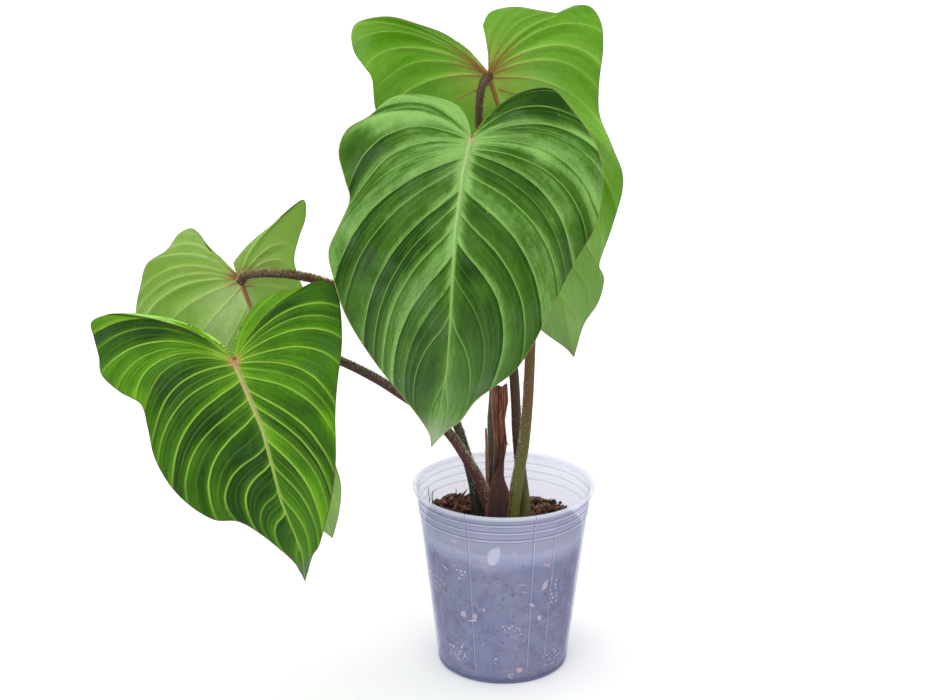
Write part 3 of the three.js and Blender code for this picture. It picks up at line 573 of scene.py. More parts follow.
                  [73, 12], [72, 34], [69, 56], [63, 80], [54, 104], [42, 128], [28, 152], [12, 176],
                  [0, 195]],
        "leftVeins": [
            [0.08, 0, 0.1, -0.2, -0.4, 0.6], [0.27, 0, 0.2, -0.3, -0.3, 0.4],
            [0.31, 0.003, 0.2, -0.2, -0.2, 0.5], [0.41, 0.03, 0.2, -0.2, -0.1, 0.5],
            [0.55, 0.12, 0.2, 0, 0, 0.4], [0.7, 0.3, 0.2, 0, 0, 0.4], [0.8, 0.5, 0.18, 0, 0, 0.4],
            [0.9, 0.75, 0.12, 0, 0, 0.4]],
        "rightVeins": [
            [0.01, 0, 0.1, 0.2, 0.2, 0.4], [0.055, 0, 0.16, 0.2, 0, 0.8], [0.1, 0, 0.2, 0.1, 0, 0.8],
            [0.18, 0, 0.24, 0, 0, 0.9], [0.23, 0, 0.26, 0.1, 0, 0.5], [0.28, 0.002, 0.26, 0.2, -0.5, 1],
            [0.36, 0.01, 0.2, 0.2, 0.1, 0.6], [0.48, 0.03, 0.12, 0.3, 0.6, 1],
            [0.6, 0.1, 0.12, 0.6, 0.2, 0.8], [0.7, 0.24, 0.16, 0, 0, 0.6], [0.8, 0.44, 0.16, 0, 0, 0.5],
            [0.9, 0.7, 0.12, 0, 0, 0.4]],
        "sway": [[0, 0], [1, 0]],
        "shadeAndBlotchAreas": [[25, 14, 14, 0.6], [52, -23, 16, -0.5]],
        "sinusBow": [0.05, -0.22], "arch": 8, "fold": 0.08, "droop": 10, "wave": 3, "waves": 4,
        "wavePhase": 0.1, "finishes": ["leafUpperBright", "leafUnderPale"], "node": "leaf_left_back",
        "slot": "leaf_under_pale",
    },
}


def placeBlade(leaf):
    # the flat blade's length, and the directions along it, across it and out of its upper side
    origin, tip, upper, bulge = (np.array(leaf[key], float) for key in ("attach", "tip", "upper", "bulge"))
    length = np.linalg.norm(tip - origin)
    along = (tip - origin) / length
    upper = unit(upper)
    upper = unit(upper - along * upper.dot(along))
    leaf.update(origin=origin, along=along, length=length, upper=upper, across=np.cross(upper, along),
                bulge=unit(bulge))


tableSteps = np.linspace(0, 1, 401)
sideNames = {1: "right", -1: "left"}


def smoothTable(stops, values):
    # a rounded line through the listed values
    reach = 9
    window = np.hanning(2 * reach + 1)
    padded = np.pad(np.interp(tableSteps, stops, values), reach, mode="reflect", reflect_type="odd")
    return np.convolve(padded, window / window.sum(), mode="valid")


def veinTables(leaf, side):
    ends, starts, bows, above, below, power = zip(*leaf[f"{sideNames[side]}Veins"])
    stops = (0, *ends, 1)
    last = len(ends) - 1
    counted = (-ends[0] / blade["firstGap"], *range(len(ends)), last + (1 - ends[-1]) / blade["lastGap"])
    slope = 1e-5 * tableSteps
    return {
        "phase": smoothTable(stops, counted),
        "start": np.maximum.accumulate(smoothTable(stops, (0, *starts, 1))) + slope * (1 - tableSteps),
        "bow": smoothTable(stops, (bows[0], *bows, 0)),
        "above": np.array((above[0], *above, 0)), "below": np.array((above[0], *below, 0)),
        "power": np.array((0, *power, 0)),
    }


for leaf in leaves.values():
    placeBlade(leaf)
    leaf["tables"] = {side: veinTables(leaf, side) for side in (1, -1)}
    leaf["swayTable"] = smoothTable(*zip(*leaf["sway"]))


def readTable(leaf, side, name, t):
    return np.interp(t, tableSteps, leaf["tables"][side][name])


def midribSway(leaf, side, share):
    return side * np.interp(share, tableSteps, leaf["swayTable"])


def veinPoints(leaf, side, t, f):
    sinusBow = leaf["sinusBow"][1 if side > 0 else 0]
    share = readTable(leaf, side, "start", t)
    start = np.stack([midribSway(leaf, side, share), leaf["length"] * share], 1)
    end = curvePoints(leaf[sideNames[side]], t, freeEnds=False)
    chord = end - start
    bow = sinusBow * np.maximum(0, 1 - t / blade["sinusReach"]) ** 2 + readTable(leaf, side, "bow", t)
    bend = np.stack([chord[:, 1], -chord[:, 0]], 1) * bow[:, None]
    control = (start + end) / 2 + bend
    keep = (1 - f)[:, None]
    out = f[:, None]
    return start * keep ** 2 + control * 2 * out * keep + end * out ** 2


def veinPhase(leaf, side, t, f):
    # a whole number on each listed vein; they run beside the midrib before they leave it, and turn to
    # the tip near the margin
    turned = t - blade["turnTip"] * f ** 4
    return readTable(leaf, side, "phase", turned) + blade["runBeside"] * np.exp(-f / blade["leaveBy"])


def veinRoute(leaf, side, index, f):
    # t along one listed vein
    phase = index - blade["runBeside"] * np.exp(-f / blade["leaveBy"])
    return np.interp(phase, leaf["tables"][side]["phase"], tableSteps) + blade["turnTip"] * f ** 4


# painted quilting shade: how light the blade is painted between one vein and the next
def veinShadeTones(leaf, side, phase):
    tables = leaf["tables"][side]
    index = np.clip(np.floor(phase).astype(int), -1, len(tables["above"]) - 3)
    share = smoothStep(0.3, 1.0, phase - index)
    nearest = np.clip(np.rint(phase).astype(int) + 1, 0, len(tables["power"]) - 1)
    tones = tables["below"][index + 1] * (1 - share) + tables["above"][index + 2] * share
    return tones, tables["power"][nearest]


# broad painted light and shade, partly the leaf's own dark blotches
def shadeAndBlotchTones(leaf, x, y):
    return sum(amount * np.exp(-((x - across) ** 2 + (y - along) ** 2) / radius ** 2)
               for across, along, radius, amount in leaf["shadeAndBlotchAreas"])


def bladeHeight(leaf, flat, t, f, phase):
    x = flat[:, 1] / leaf["length"]
    arch = leaf["arch"] * 4 * x * (1 - x)
    cross = leaf["fold"] * flat[:, 0] - leaf["droop"] * (flat[:, 0] / blade["dropWidth"]) ** 2
    wave = leaf["wave"] * f ** 3 * np.sin(2 * math.pi * (leaf["waves"] * t + leaf["wavePhase"]))
    calm = np.sqrt(np.clip(np.sin(math.pi * np.minimum(1, t * 1.02)), 0, 1))
    room = np.minimum(1, np.hypot(flat[:, 0], np.maximum(0, -flat[:, 1])) / blade["pillowRoom"])
    ridged = np.abs(np.sin(math.pi * phase)) ** 0.75
    pillow = blade["quilt"] * ridged * room * np.sin(math.pi * f ** 0.7) * calm
    return arch + cross + wave * calm + pillow


def bladePlaces(leaf, side, t, f):
    flat = veinPoints(leaf, side, t, f)
    phase = veinPhase(leaf, side, t, f)
    height = bladeHeight(leaf, flat, t, f, phase)
    place = leaf["origin"] + leaf["across"] * (side * flat[:, :1]) + leaf["along"] * flat[:, 1:]
    return place + leaf["bulge"] * height[:, None], flat, phase


def bladeRelief(leaf, place, phase, alongVein, fromMargin):
    # slow swells of the whole blade and small puckers between the veins, none at the margin
    seed = leaf["waves"] + leaf["arch"]
    inner = min(1.0, fromMargin / blade["marginCalm"])
    swell = blade["undulation"] * noise.noise(Vector(place) * 0.028 + Vector((seed * 7, 0, 0)))
    small = blade["pucker"] * noise.noise(Vector((phase * 2.4, alongVein * 0.13, seed)))
    return (swell + small * min(1.0, alongVein / 8)) * inner


def veinGaps(leaf, side, t, f):
    # how many millimetres the surface has for each step of the vein phase
    step = 3e-3
    tLow, tHigh = np.clip(t - step, 0, 1), np.clip(t + step, 0, 1)
    fLow, fHigh = np.clip(f - step, 0, 1), np.clip(f + step, 0, 1)
    alongT = veinPoints(leaf, side, tHigh, f) - veinPoints(leaf, side, tLow, f)
    alongF = veinPoints(leaf, side, t, fHigh) - veinPoints(leaf, side, t, fLow)
    phaseT = veinPhase(leaf, side, tHigh, f) - veinPhase(leaf, side, tLow, f)
    phaseF = veinPhase(leaf, side, t, fHigh) - veinPhase(leaf, side, t, fLow)
    area = alongT[:, 0] * alongF[:, 1] - alongT[:, 1] * alongF[:, 0]
    slope = np.hypot(phaseT * alongF[:, 1] - phaseF * alongT[:, 1],
                     phaseT * alongF[:, 0] - phaseF * alongT[:, 0])
    return np.abs(area) / np.maximum(slope, 1e-9)


def downBlade(leaf, flat):
    return np.clip(flat[:, 1] / leaf["length"], 0, 1)


def ribDistance(leaf, side, flat):
    sway = midribSway(leaf, side, downBlade(leaf, flat))
    return np.hypot(flat[:, 0] - sway, np.maximum(0, -flat[:, 1]))


def ridgeHeights(down, fromRib):
    # the blade is thicker along its midrib, and less so towards the tip
    return blade["ridge"] * (1 - blade["ridgeFade"] * down) * np.exp(-(fromRib / blade["ridgeWidth"]) ** 2)


def veinLengths(leaf, side, t):
    # straight across from the midrib to the margin
    chord = veinPoints(leaf, side, t, np.ones_like(t)) - veinPoints(leaf, side, t, np.zeros_like(t))
    return np.hypot(chord[:, 0], chord[:, 1])


def marginDistances(flat, outline):
    # to the outline, in the flat blade
    edge = curvePoints(outline, np.linspace(0, 1, 400), freeEnds=False)
    return np.array([np.min(np.hypot(edge[:, 0] - x, edge[:, 1] - y)) for x, y in flat])


def rowPlaces(leaf):
    # t for each row of the mesh on both sides, so that the two halves meet along the midrib
    rows = np.linspace(0, 1, blade["alongCells"] + 1)
    starts = {side: leaf["tables"][side]["start"] for side in (1, -1)}
    fanEnds = {side: np.interp(0.002, starts[side], tableSteps) for side in (1, -1)}
    fanRows = (fanEnds[1] + fanEnds[-1]) / 2
    inFan = rows <= fanRows
    after = (rows[~inFan] - fanRows) / (1 - fanRows)
    share = sum(np.interp(fanEnds[side] + (1 - fanEnds[side]) * after, tableSteps, starts[side])
                for side in (1, -1)) / 2
    return {side: np.concatenate([rows[inFan] / fanRows * fanEnds[side],
                                  np.interp(share, starts[side], tableSteps)]) for side in (1, -1)}


def buildBlade(name, leaf):
    bm = bmesh.new()
    bmesh.ops.create_grid(bm, x_segments=2 * blade["acrossCells"], y_segments=blade["alongCells"], size=1)
    bm.verts.ensure_lookup_table()
    grid = np.array([v.co[:] for v in bm.verts])
    rows = rowPlaces(leaf)
    row = np.rint((grid[:, 1] + 1) / 2 * blade["alongCells"]).astype(int)
    f = np.abs(grid[:, 0])
    values = {key: np.zeros(len(f)) for key in
              ("veinPhase", "veinGap", "alongVein", "fromRib", "fromMargin", "fromAttach", "downBlade",
               "bladeSide", "bladeShadeTone", "veinPower")}
    places = np.zeros((len(f), 3))
    for side in (1, -1):
        half = grid[:, 0] * side > -1e-6
        t = rows[side][row[half]]
        place, flat, phase = bladePlaces(leaf, side, t, f[half])
        places[half] = place
        values["veinPhase"][half] = phase
        values["bladeShadeTone"][half], values["veinPower"][half] = veinShadeTones(leaf, side, phase)
        values["bladeShadeTone"][half] += shadeAndBlotchTones(leaf, side * flat[:, 0], flat[:, 1])
        values["veinGap"][half] = np.clip(veinGaps(leaf, side, t, f[half]), 0.3, 40)
        values["alongVein"][half] = f[half] * veinLengths(leaf, side, t)
        values["fromRib"][half] = ribDistance(leaf, side, flat)
        values["fromMargin"][half] = marginDistances(flat, leaf[sideNames[side]])
        values["fromAttach"][half] = np.hypot(flat[:, 0], flat[:, 1])
        values["downBlade"][half] = downBlade(leaf, flat)
        values["bladeSide"][half] = side
    deform = bm.verts.layers.deform.verify()
    layers = floatLayers(bm, *values)
    thickest = blade["thickness"] + blade["ridge"]
    ridges = ridgeHeights(values["downBlade"], values["fromRib"])
    for i, v in enumerate(bm.verts):
        relief = bladeRelief(leaf, places[i], values["veinPhase"][i], values["alongVein"][i],
                             values["fromMargin"][i])
        v.co = Vector(places[i] + leaf["bulge"] * relief) * mm
        for key, layer in layers.items():
            v[layer] = values[key][i]
        v[deform][0] = (blade["thickness"] + ridges[i]) / thickest
    bmesh.ops.remove_doubles(bm, verts=bm.verts, dist=0.00009)
    bmesh.ops.reverse_faces(bm, faces=bm.faces)
    materials = [bladeMaterials[finish] for finish in leaf["finishes"]]
    piece = makePiece(bm, name, materials, [leaf["node"]])
    piece.vertex_groups.new(name="thickness")
    wall = addWall(piece, thickest)
    wall.vertex_group = "thickness"
    wall.material_offset = 1
    wall.use_even_offset = False


for leafName, leaf in leaves.items():
    buildBlade(f"blade{capital(leafName)}", leaf)
print("blades built")


# Stalks, with real bristles on the sides where the plant has them
# Hairs are listed as: from and to along the stalk, how many, how long, the side they are on.

stalkSteps = 170
stalkSides = 22
behindBlade = 3.05  # how far below the blade's upper side a stalk ends, as in the CAD

stalks = {
    "front": {
        "points": [[3, -7.5, 82], [5.4, -9.5, 100], [7.2, -10.5, 119], [10.2, -11, 140],
                   [12.9, -12, 158], [14.6, -13, 180], [15.6, -14, 205], [16, -15, 235], [13, -17, 268],
                   [6, -20, 303], [-6, -23, 332], [-17, -28, 351], [-21.5, -37, 360.5]],
        "radii": [4.3, 3.4, 2.6], "finish": "stalkOlive", "slot": "stalk_olive", "node": "stalk_front",
        "bristle": "paleBristle",
        "hairs": [(0.1, 0.4, 520, 1.0, (-0.9, -0.2, 0)), (0.05, 1.0, 380, 0.6, None)],
    },
    "back": {
        "points": [[9.5, 2, 84], [13.2, 4.5, 97], [14.2, 5, 106], [12, 5, 126], [9.8, 4.5, 146],
                   [8.5, 4, 162], [7.6, 4, 180], [6.3, 4, 199], [4, 4, 222], [0, 4.5, 255], [-8, 5, 305],
                   [-14.5, 4, 341], [-16.5, 3, 362], [-16.3, 3, 378], [-14.5, 4.5, 388],
                   [-11.6, 8, 391.8]],
        "radii": [3.9, 3.2, 2.3], "finish": "stalkDark", "slot": "stalk_dark", "node": "stalk_back",
        "bristle": "redBristle",
        "hairs": [(0.72, 1.0, 900, 1.2, None), (0.05, 0.72, 420, 0.8, None)],
    },
    "leftFront": {
        "points": [[-6, -6.5, 86], [-9, -9, 108], [-16.2, -13, 132], [-24.8, -18, 149.5],
                   [-35.8, -24, 169], [-50.5, -34, 187.5], [-66, -42, 202], [-81, -50, 215],
                   [-99, -58, 227.5], [-120, -66, 239], [-140, -71, 241.5], [-154, -76, 235],
                   [-161.5, -82, 233]],
        "radii": [4.4, 3.1, 2.5], "finish": "stalkRed", "slot": "stalk_red", "node": "stalk_left_front",
        "bristle": "paleBristle",
        "hairs": [(0.1, 1.0, 2700, 1.0, (0.3, -0.4, 1)), (0.05, 1.0, 300, 0.6, None)],
    },
    "leftBack": {
        "points": [[-11, 1, 86], [-17, 3, 106], [-19, 3, 121], [-22.5, 2, 136], [-30, 0, 164],
                   [-38.5, -2, 184], [-51, -6, 212], [-67, -11, 237], [-85, -17, 254.5],
                   [-101, -21, 263.5], [-119, -26, 271.5], [-135, -29, 275.5], [-150, -30, 276.5],
                   [-161, -27, 274.5]],
        "radii": [4.1, 3, 2.4], "finish": "stalkGreen", "slot": "stalk_green", "node": "stalk_left_back",
        "bristle": "paleBristle",
        "hairs": [(0.12, 0.55, 1300, 1.1, (0.1, -0.4, 1)), (0.05, 0.6, 300, 0.7, None)],
        "goldHairs": [(0.5, 1.0, 2300, 1.7, (0.1, -0.4, 1)), (0.6, 1.0, 500, 1.1, None)],
    },
    "young": {
        "points": [[-7.4, 4.6, 106.5], [-8.2, 5, 125], [-8.2, 5, 154], [-8.6, 5, 168], [-7.5, 5, 192],
                   [-10, 8, 216], [-14, 11, 238]],
        "radii": [2.6, 2.2, 1.9], "finish": "stalkGrey", "slot": "stalk_grey", "node": "stalk_young",
        "bristle": "paleBristle",
        "hairs": [(0.0, 1.0, 500, 0.8, None)],
    },
}

stalkFinishes = {
    "stalkOlive": {"Base": (106, 112, 38), "Top": (118, 84, 36), "Upper Side": (116, 106, 46),
                   "Streak": (80, 66, 32), "Change": 0.16, "Change End": 0.38},
    "stalkDark": {"Base": (108, 112, 48), "Top": (86, 60, 34), "Upper Side": (92, 68, 44),
                  "Streak": (46, 36, 28), "Change": 0.05, "Change End": 0.2},
    "stalkRed": {"Base": (74, 56, 44), "Top": (88, 44, 38), "Upper Side": (104, 66, 54),
                 "Streak": (50, 28, 24), "Change": 0.02, "Change End": 0.16},
    "stalkGreen": {"Base": (40, 48, 22), "Top": (74, 46, 28), "Upper Side": (92, 72, 42),
                   "Streak": (36, 30, 20), "Change": 0.4, "Change End": 0.6},
    "stalkGrey": {"Base": (92, 94, 74), "Top": (112, 102, 88), "Upper Side": (112, 112, 96),
                  "Streak": (70, 76, 58), "Change": 0.2, "Change End": 0.9},
}


def stalkSkinGroup():
    n, given = newGroup("stalkSkin", {
        "Base": (90, 100, 50), "Top": (110, 80, 50), "Upper Side": (110, 100, 60), "Streak": (50, 50, 30),
        "Change": 0.2, "Change End": 0.6,
    })
    place, share = n.place(), n.read("alongStalk")
    streak = n.noiseAt(n.vector(n.times(n.read("aroundStalk"), 7), n.times(share, 4), 0), 1.5, 4, 0.6)
    grain = n.noiseAt(place, 420, 3)
    dots = n.put("TexVoronoi", {"Vector": place, "Scale": 300})["Distance"]
    skin = n.coats(
        given["Base"],
        (n.between(share, given["Change"], given["Change End"]), given["Top"]),
        (n.between(n.read("stalkTop"), 0.2, 0.9, 0, 0.6), given["Upper Side"]),
        (n.between(streak, 0.5, 0.75, 0, 0.75), given["Streak"]),
        (n.between(grain, 0.55, 0.8, 0, 0.35), given["Streak"]),
        (n.between(dots, 0.08, 0.2, 0.55, 0), (150, 140, 105)),
    )
    height = n.timesPlus(streak, 0.8, n.times(grain, 0.4))
    return n.asGroup({"Color": skin, "Roughness": n.between(grain, 0.3, 0.7, 0.38, 0.62), "Height": height})


def bristleMaterial(name, root, tip):
    material, n = newMaterial(name)
    mixed = n.between(n.noiseAt(n.place(), 260), 0.35, 0.65)
    n.dress({"Base Color": n.blend(mixed, root, tip), "Roughness": 0.6})
    return material


def stalkCentres(name):
    stalk = stalks[name]
    points = [list(p) for p in stalk["points"]]
    if name in leaves:
        points.append(list(leaves[name]["origin"] - leaves[name]["upper"] * behindBlade))
    centres = curvePoints(points, np.linspace(0, 1, stalkSteps))
    base, middle, end = stalk["radii"]
    x = np.linspace(0, 1, stalkSteps)
    radii = middle + (end - middle) * smoothStep(0.3, 0.95, x)
    radii = radii + (base - middle) * (1 - smoothStep(0.05, 0.3, x))
    if name in leaves:
        radii = radii * (1 + 0.25 * smoothStep(0.965, 0.995, x))
    return centres, radii


bristle = {
    "lean": 0.45, "forward": 0.15, "lengths": (0.5, 1.3), "root": 0.17, "tip": 0.05, "sunk": 0.15,
    # tones at the root and at the tip
    "tones": {
        "paleBristle": ((218, 204, 174), (252, 244, 226)), "goldBristle": ((158, 126, 78), (226, 204, 146)),
        "redBristle": ((120, 62, 50), (176, 140, 116)),
    },
}


def addBristles(bm, centres, radii, draws, rule):
    # thin three-sided cones rooted just under the skin
    start, stop, count, length, facing = rule
    tangents, outs, others = tubeFrames(centres)
    part = bmesh.new()
    placed = 0
    while placed < count:
        step = draws.uniform(start, stop) * (len(centres) - 1)
        turn = draws.uniform(0, 2 * math.pi)
        i = min(len(centres) - 2, int(step))
        centre = centres[i] + (centres[i + 1] - centres[i]) * (step - i)
        spoke = outs[i] * math.cos(turn) + others[i] * math.sin(turn)
        if facing is not None and spoke.dot(unit(np.array(facing, float))) < draws.uniform(0.05, 0.9):
            continue
        placed += 1
        lean = np.array([draws.uniform(-bristle["lean"], bristle["lean"]) for axis in "xyz"])
        direction = unit(spoke + lean + tangents[i] * bristle["forward"])
        tall = length * draws.uniform(*bristle["lengths"])
        root = centre + spoke * (radii[i] - bristle["sunk"])
        middle = (root + direction * tall / 2) * mm
        turned = Vector(direction).to_track_quat("Z", "Y").to_matrix().to_4x4()
        bmesh.ops.create_cone(
            part, cap_ends=False, segments=3, radius1=bristle["root"] * mm, radius2=bristle["tip"] * mm,
            depth=tall * mm, matrix=Matrix.Translation(middle) @ turned)
        if placed % 80 == 0 or placed == count:
            pour(bm, part)
            part = bmesh.new()
    part.free()


def buildStalk(name, stalk, materials, draws):
    centres, radii = stalkCentres(name)
    bm = bmesh.new()
    layers = floatLayers(bm, "alongStalk", "aroundStalk", "stalkTop")
    verts, place = addTube(bm, centres, radii, stalkSides)
    seed = draws.uniform(0, 100)
    for v in verts:
        i, spoke = place[v]
        turn = math.atan2(spoke[1], spoke[0]) / math.pi
        ridge = 0.1 * noise.noise(Vector((turn * 5, i * 0.03, seed)))
        ridge += 0.12 * noise.noise(Vector((turn * 2, i * 0.12, seed + 9)))
        v.co = Vector((Vector(v.co) + Vector(spoke) * ridge) * mm)
        v[layers["alongStalk"]] = i / (stalkSteps - 1)
        v[layers["aroundStalk"]] = abs(turn)
        v[layers["stalkTop"]] = spoke[2]
    bmesh.ops.remove_doubles(bm, verts=bm.verts, dist=0.00002)
    bmesh.ops.holes_fill(bm, edges=[edge for edge in bm.edges if edge.is_boundary], sides=0)
    closeSeams(bm, 0.00002)
    label = capital(name)
    makePiece(bm, f"stalk{label}", [materials[stalk["finish"]]], [stalk["node"]])

    for key, finish in (("hairs", stalk["bristle"]), ("goldHairs", "goldBristle")):
        if key not in stalk:
            continue
        hairs = bmesh.new()
        for rule in stalk[key]:
            addBristles(hairs, centres, radii, draws, rule)
        makePiece(hairs, f"{key}{label}", [materials[finish]])


stalkSkin = stalkSkinGroup()
stalkMaterials = {name: skinMaterial(name, stalkSkin, values, 0.6, 0.0004)
                  for name, values in stalkFinishes.items()}
stalkMaterials |= {name: bristleMaterial(name, *tones) for name, tones in bristle["tones"].items()}
stalkDraws = random.Random(41)
for stalkName, stalk in stalks.items():
    buildStalk(stalkName, stalk, stalkMaterials, stalkDraws)
print("stalks and bristles built")


# Raised veins on the underside of the blades

ribSettings = {"steps": 34, "sides": 8}


def underRibs(leaf, veinRadius, endRadius, sideFade):
    bm = bmesh.new()
    layer = bm.verts.layers.float.new("fromAttach")
    x = np.linspace(0, 1, 60)
    onRib = np.interp(x, leaf["tables"][1]["start"], tableSteps)
    routes = [(1, onRib, np.zeros_like(x), np.interp(x, [0, 1], [1.2, 0.25]))]
    f = np.linspace(0.03, 0.93, ribSettings["steps"])
    for side in (1, -1):
        radii = np.interp(f, [0, 0.25, 1], [veinRadius, veinRadius * 0.7, endRadius])
        for k in range(len(leaf[f"{sideNames[side]}Veins"])):
            routes.append((side, veinRoute(leaf, side, k, f), f, radii))
    for i, (side, t, f, radii) in enumerate(routes):
        place, flat, phase = bladePlaces(leaf, side, t, f)
        margin = marginDistances(flat, leaf[sideNames[side]])
        alongVein = f * veinLengths(leaf, side, t)
        relief = [bladeRelief(leaf, *at) for at in zip(place, phase, alongVein, margin)]
        ridge = ridgeHeights(downBlade(leaf, flat), ribDistance(leaf, side, flat))
        depth = np.maximum(blade["thickness"] + ridge - radii * 0.35, radii + 0.3)
        centres = place + leaf["bulge"] * np.array(relief)[:, None] - leaf["upper"] * depth[:, None]
        for v in addTube(bm, centres, radii, ribSettings["sides"])[0]:
            at = np.array(v.co)
            v[layer] = float(np.linalg.norm(at - leaf["origin"])) * (sideFade if i else 1)
            v.co = Vector(at) * mm
    closeSeams(bm)
    return bm


def ribMaterial(name, root, far, reach):
    material, n = newMaterial(name)
    mixed = n.noiseAt(n.place(), 300, 3)
    moved = n.vary(n.read("fromAttach"), mixed, 24)
    n.dress({"Base Color": n.blend(n.between(moved, reach * 0.25, reach), root, far),
             "Roughness": n.between(mixed, 0.3, 0.7, 0.4, 0.55)})
    return material


# slot, tone near the stalk and further out, where it changes, radius of a vein at its start and its end,
# and how much sooner the tone changes on side veins
ribLooks = {
    "front": ("leaf_under", (160, 124, 76), (164, 206, 84), 50.0, 0.45, 0.16, 1.2),
    "back": ("leaf_under", (176, 122, 62), (158, 208, 76), 66.0, 0.5, 0.16, 1.6),
    "leftFront": ("leaf_under", (160, 114, 76), (160, 204, 78), 44.0, 0.45, 0.16, 1.2),
    "leftBack": ("leaf_under_pale", (180, 112, 62), (190, 226, 104), 46.0, 0.5, 0.18, 3.0),
}
for leafName, (slotName, root, far, reach, veinRadius, endRadius, sideFade) in ribLooks.items():
    label = capital(leafName)
    material = ribMaterial(f"rib{label}", root, far, reach)
    ribs = underRibs(leaves[leafName], veinRadius, endRadius, sideFade)
    makePiece(ribs, f"ribs{label}", [material])
print("raised veins built")


# Pot: thin milky plastic with rings under the lip and fine upright ribs

pot = {
    "height": 125, "baseRadius": 43, "topRadius": 57.5, "wall": 0.8, "floor": 1.4, "bend": 2.4,
    "rings": [117.8, 112.4, 106.9], "ringRelief": 0.5, "ringHalf": 0.9, "ringFoot": 105.4, "ringTop": 120.4,
    "ribAngles": [-56.5, -24.8, 20, 36, 66, 97, 125, 152, 180, 208, 235, 262, 287], "ribRelief": 0.4,
    "ringRibs": [-24.8, 20], "ribFrom": 9, "ribTop": 105.5, "ribHalf": 0.5, "ribFlank": 1.4,
    "ribFoot": 0.55, "lineReach": 5.0, "holes": 8, "holeRadius": 4, "holeRing": 29, "segments": 360,
    # radius and height round the lip, from the outer side to the inner one
    "lip": [(57.5, 120.9), (58.6, 121.5), (59.5, 122.3), (59.95, 123.2), (60, 123.9), (59.75, 124.5),
            (59.2, 124.9), (58.5, 125), (57.8, 124.8), (57.2, 124.3), (56.7, 123.4), (56.35, 122)],
}


def potOuter(z):
    return pot["baseRadius"] + (pot["topRadius"] - pot["baseRadius"]) * z / pot["height"]


def potRings(z):
    relief = 0
    for ring in pot["rings"]:
        relief += pot["ringRelief"] * max(0, 1 - ((z - ring) / pot["ringHalf"]) ** 2)
    return relief


def potProfile():
    bend, wall, floor = pot["bend"], pot["wall"], pot["floor"]
    arc = [math.radians(a) for a in range(-90, 1, 15)]
    edge = potOuter(bend)
    outer = [(0, 0), (20, 0), (34, 0)]
    outer += [(edge - bend + bend * math.cos(a), bend + bend * math.sin(a)) for a in arc]
    outer += [(potOuter(z), z) for z in range(8, 105, 8)]
    outer += [(potOuter(z) + potRings(z), z) for z in np.linspace(pot["ringFoot"], pot["ringTop"], 52)]
    inner = [(r - wall, z) for r, z in outer if z > bend + 1][::-1]
    corner = [(edge - wall - 0.6, floor + 0.7), (edge - wall - 2, floor), (34, floor), (0, floor)]
    return outer + pot["lip"] + inner[1:] + corner


def aroundPot(place):
    # degrees from the front, distance from the axis and height of a point
    return math.degrees(math.atan2(place.x, -place.y)), math.hypot(place.x, place.y) / mm, place.z / mm


def buildPot(material):
    bm = bmesh.new()
    spinProfile(bm, [(radius * mm, z * mm) for radius, z in potProfile()], pot["segments"], 0.00001)
    for v in bm.verts:
        angle, radius, z = aroundPot(v.co)
        if radius <= potOuter(z) - 0.3 or not pot["ribFrom"] + 1 < z < pot["ringTop"] + 0.1:
            continue
        for rib in pot["ribAngles"]:
            away = (angle - rib + 180) % 360 - 180
            top = pot["ringTop"] if rib in pot["ringRibs"] else pot["ribTop"]
            if abs(away) > pot["ribFlank"] or z > top:
                continue
            near = abs(away) < pot["ribHalf"]
            turn = math.radians(rib if near else rib + math.copysign(pot["ribFoot"], away))
            grown = radius + (pot["ribRelief"] * min(1, (z - pot["ribFrom"]) / 8) if near else 0)
            v.co = Vector((grown * math.sin(turn), -grown * math.cos(turn), z)) * mm
    bmesh.ops.recalc_face_normals(bm, faces=bm.faces)
    piece = makePiece(bm, "potShell", [material], ["pot"])
    drainHoles(piece)
    markLines(piece)
    return piece


def drainHoles(piece):
    bm = bmesh.new()
    for i in range(pot["holes"]):
        turn = 2 * math.pi * i / pot["holes"]
        place = Vector((pot["holeRing"] * math.cos(turn), pot["holeRing"] * math.sin(turn), 0)) * mm
        radius = pot["holeRadius"] * mm
        bmesh.ops.create_cone(bm, cap_ends=True, segments=32, radius1=radius, radius2=radius, depth=8 * mm,
                              matrix=Matrix.Translation(place))
    mesh = bpy.data.meshes.new("drills")
    bm.to_mesh(mesh)
    bm.free()
    drills = bpy.data.objects.new("drills", mesh)
    bpy.context.scene.collection.objects.link(drills)
    cut = piece.modifiers.new("drain", "BOOLEAN")
    cut.operation = "DIFFERENCE"
    cut.solver = "EXACT"
    cut.object = drills
    bpy.context.view_layer.update()
    done = bpy.data.meshes.new_from_object(piece.evaluated_get(bpy.context.evaluated_depsgraph_get()))
    piece.modifiers.remove(cut)
    piece.data = done
    bpy.data.objects.remove(drills)


def markLines(piece):
    # millimetres to the nearest upright rib and to the nearest ring, and 1 on the inner face
    mesh = piece.data
    made = {key: mesh.attributes.new(key, "FLOAT", "POINT").data
            for key in ("toRib", "toRing", "innerFace")}
    reach = pot["lineReach"]
    for i, v in enumerate(mesh.vertices):
        angle, radius, z = aroundPot(v.co)
        ribs = [(angle - rib + 180) % 360 - 180 for rib in pot["ribAngles"]
                if z < pot["ribTop"] or rib in pot["ringRibs"]]
        nearest = min(ribs, key=abs)
        made["toRib"][i].value = max(-reach, min(reach, math.radians(nearest) * radius))
        toRing = min((z - ring for ring in pot["rings"]), key=abs)
        made["toRing"][i].value = max(-reach, min(reach, toRing))
        made["innerFace"][i].value = 1.0 if radius < potOuter(z) - 0.4 and z < 121 else 0.0


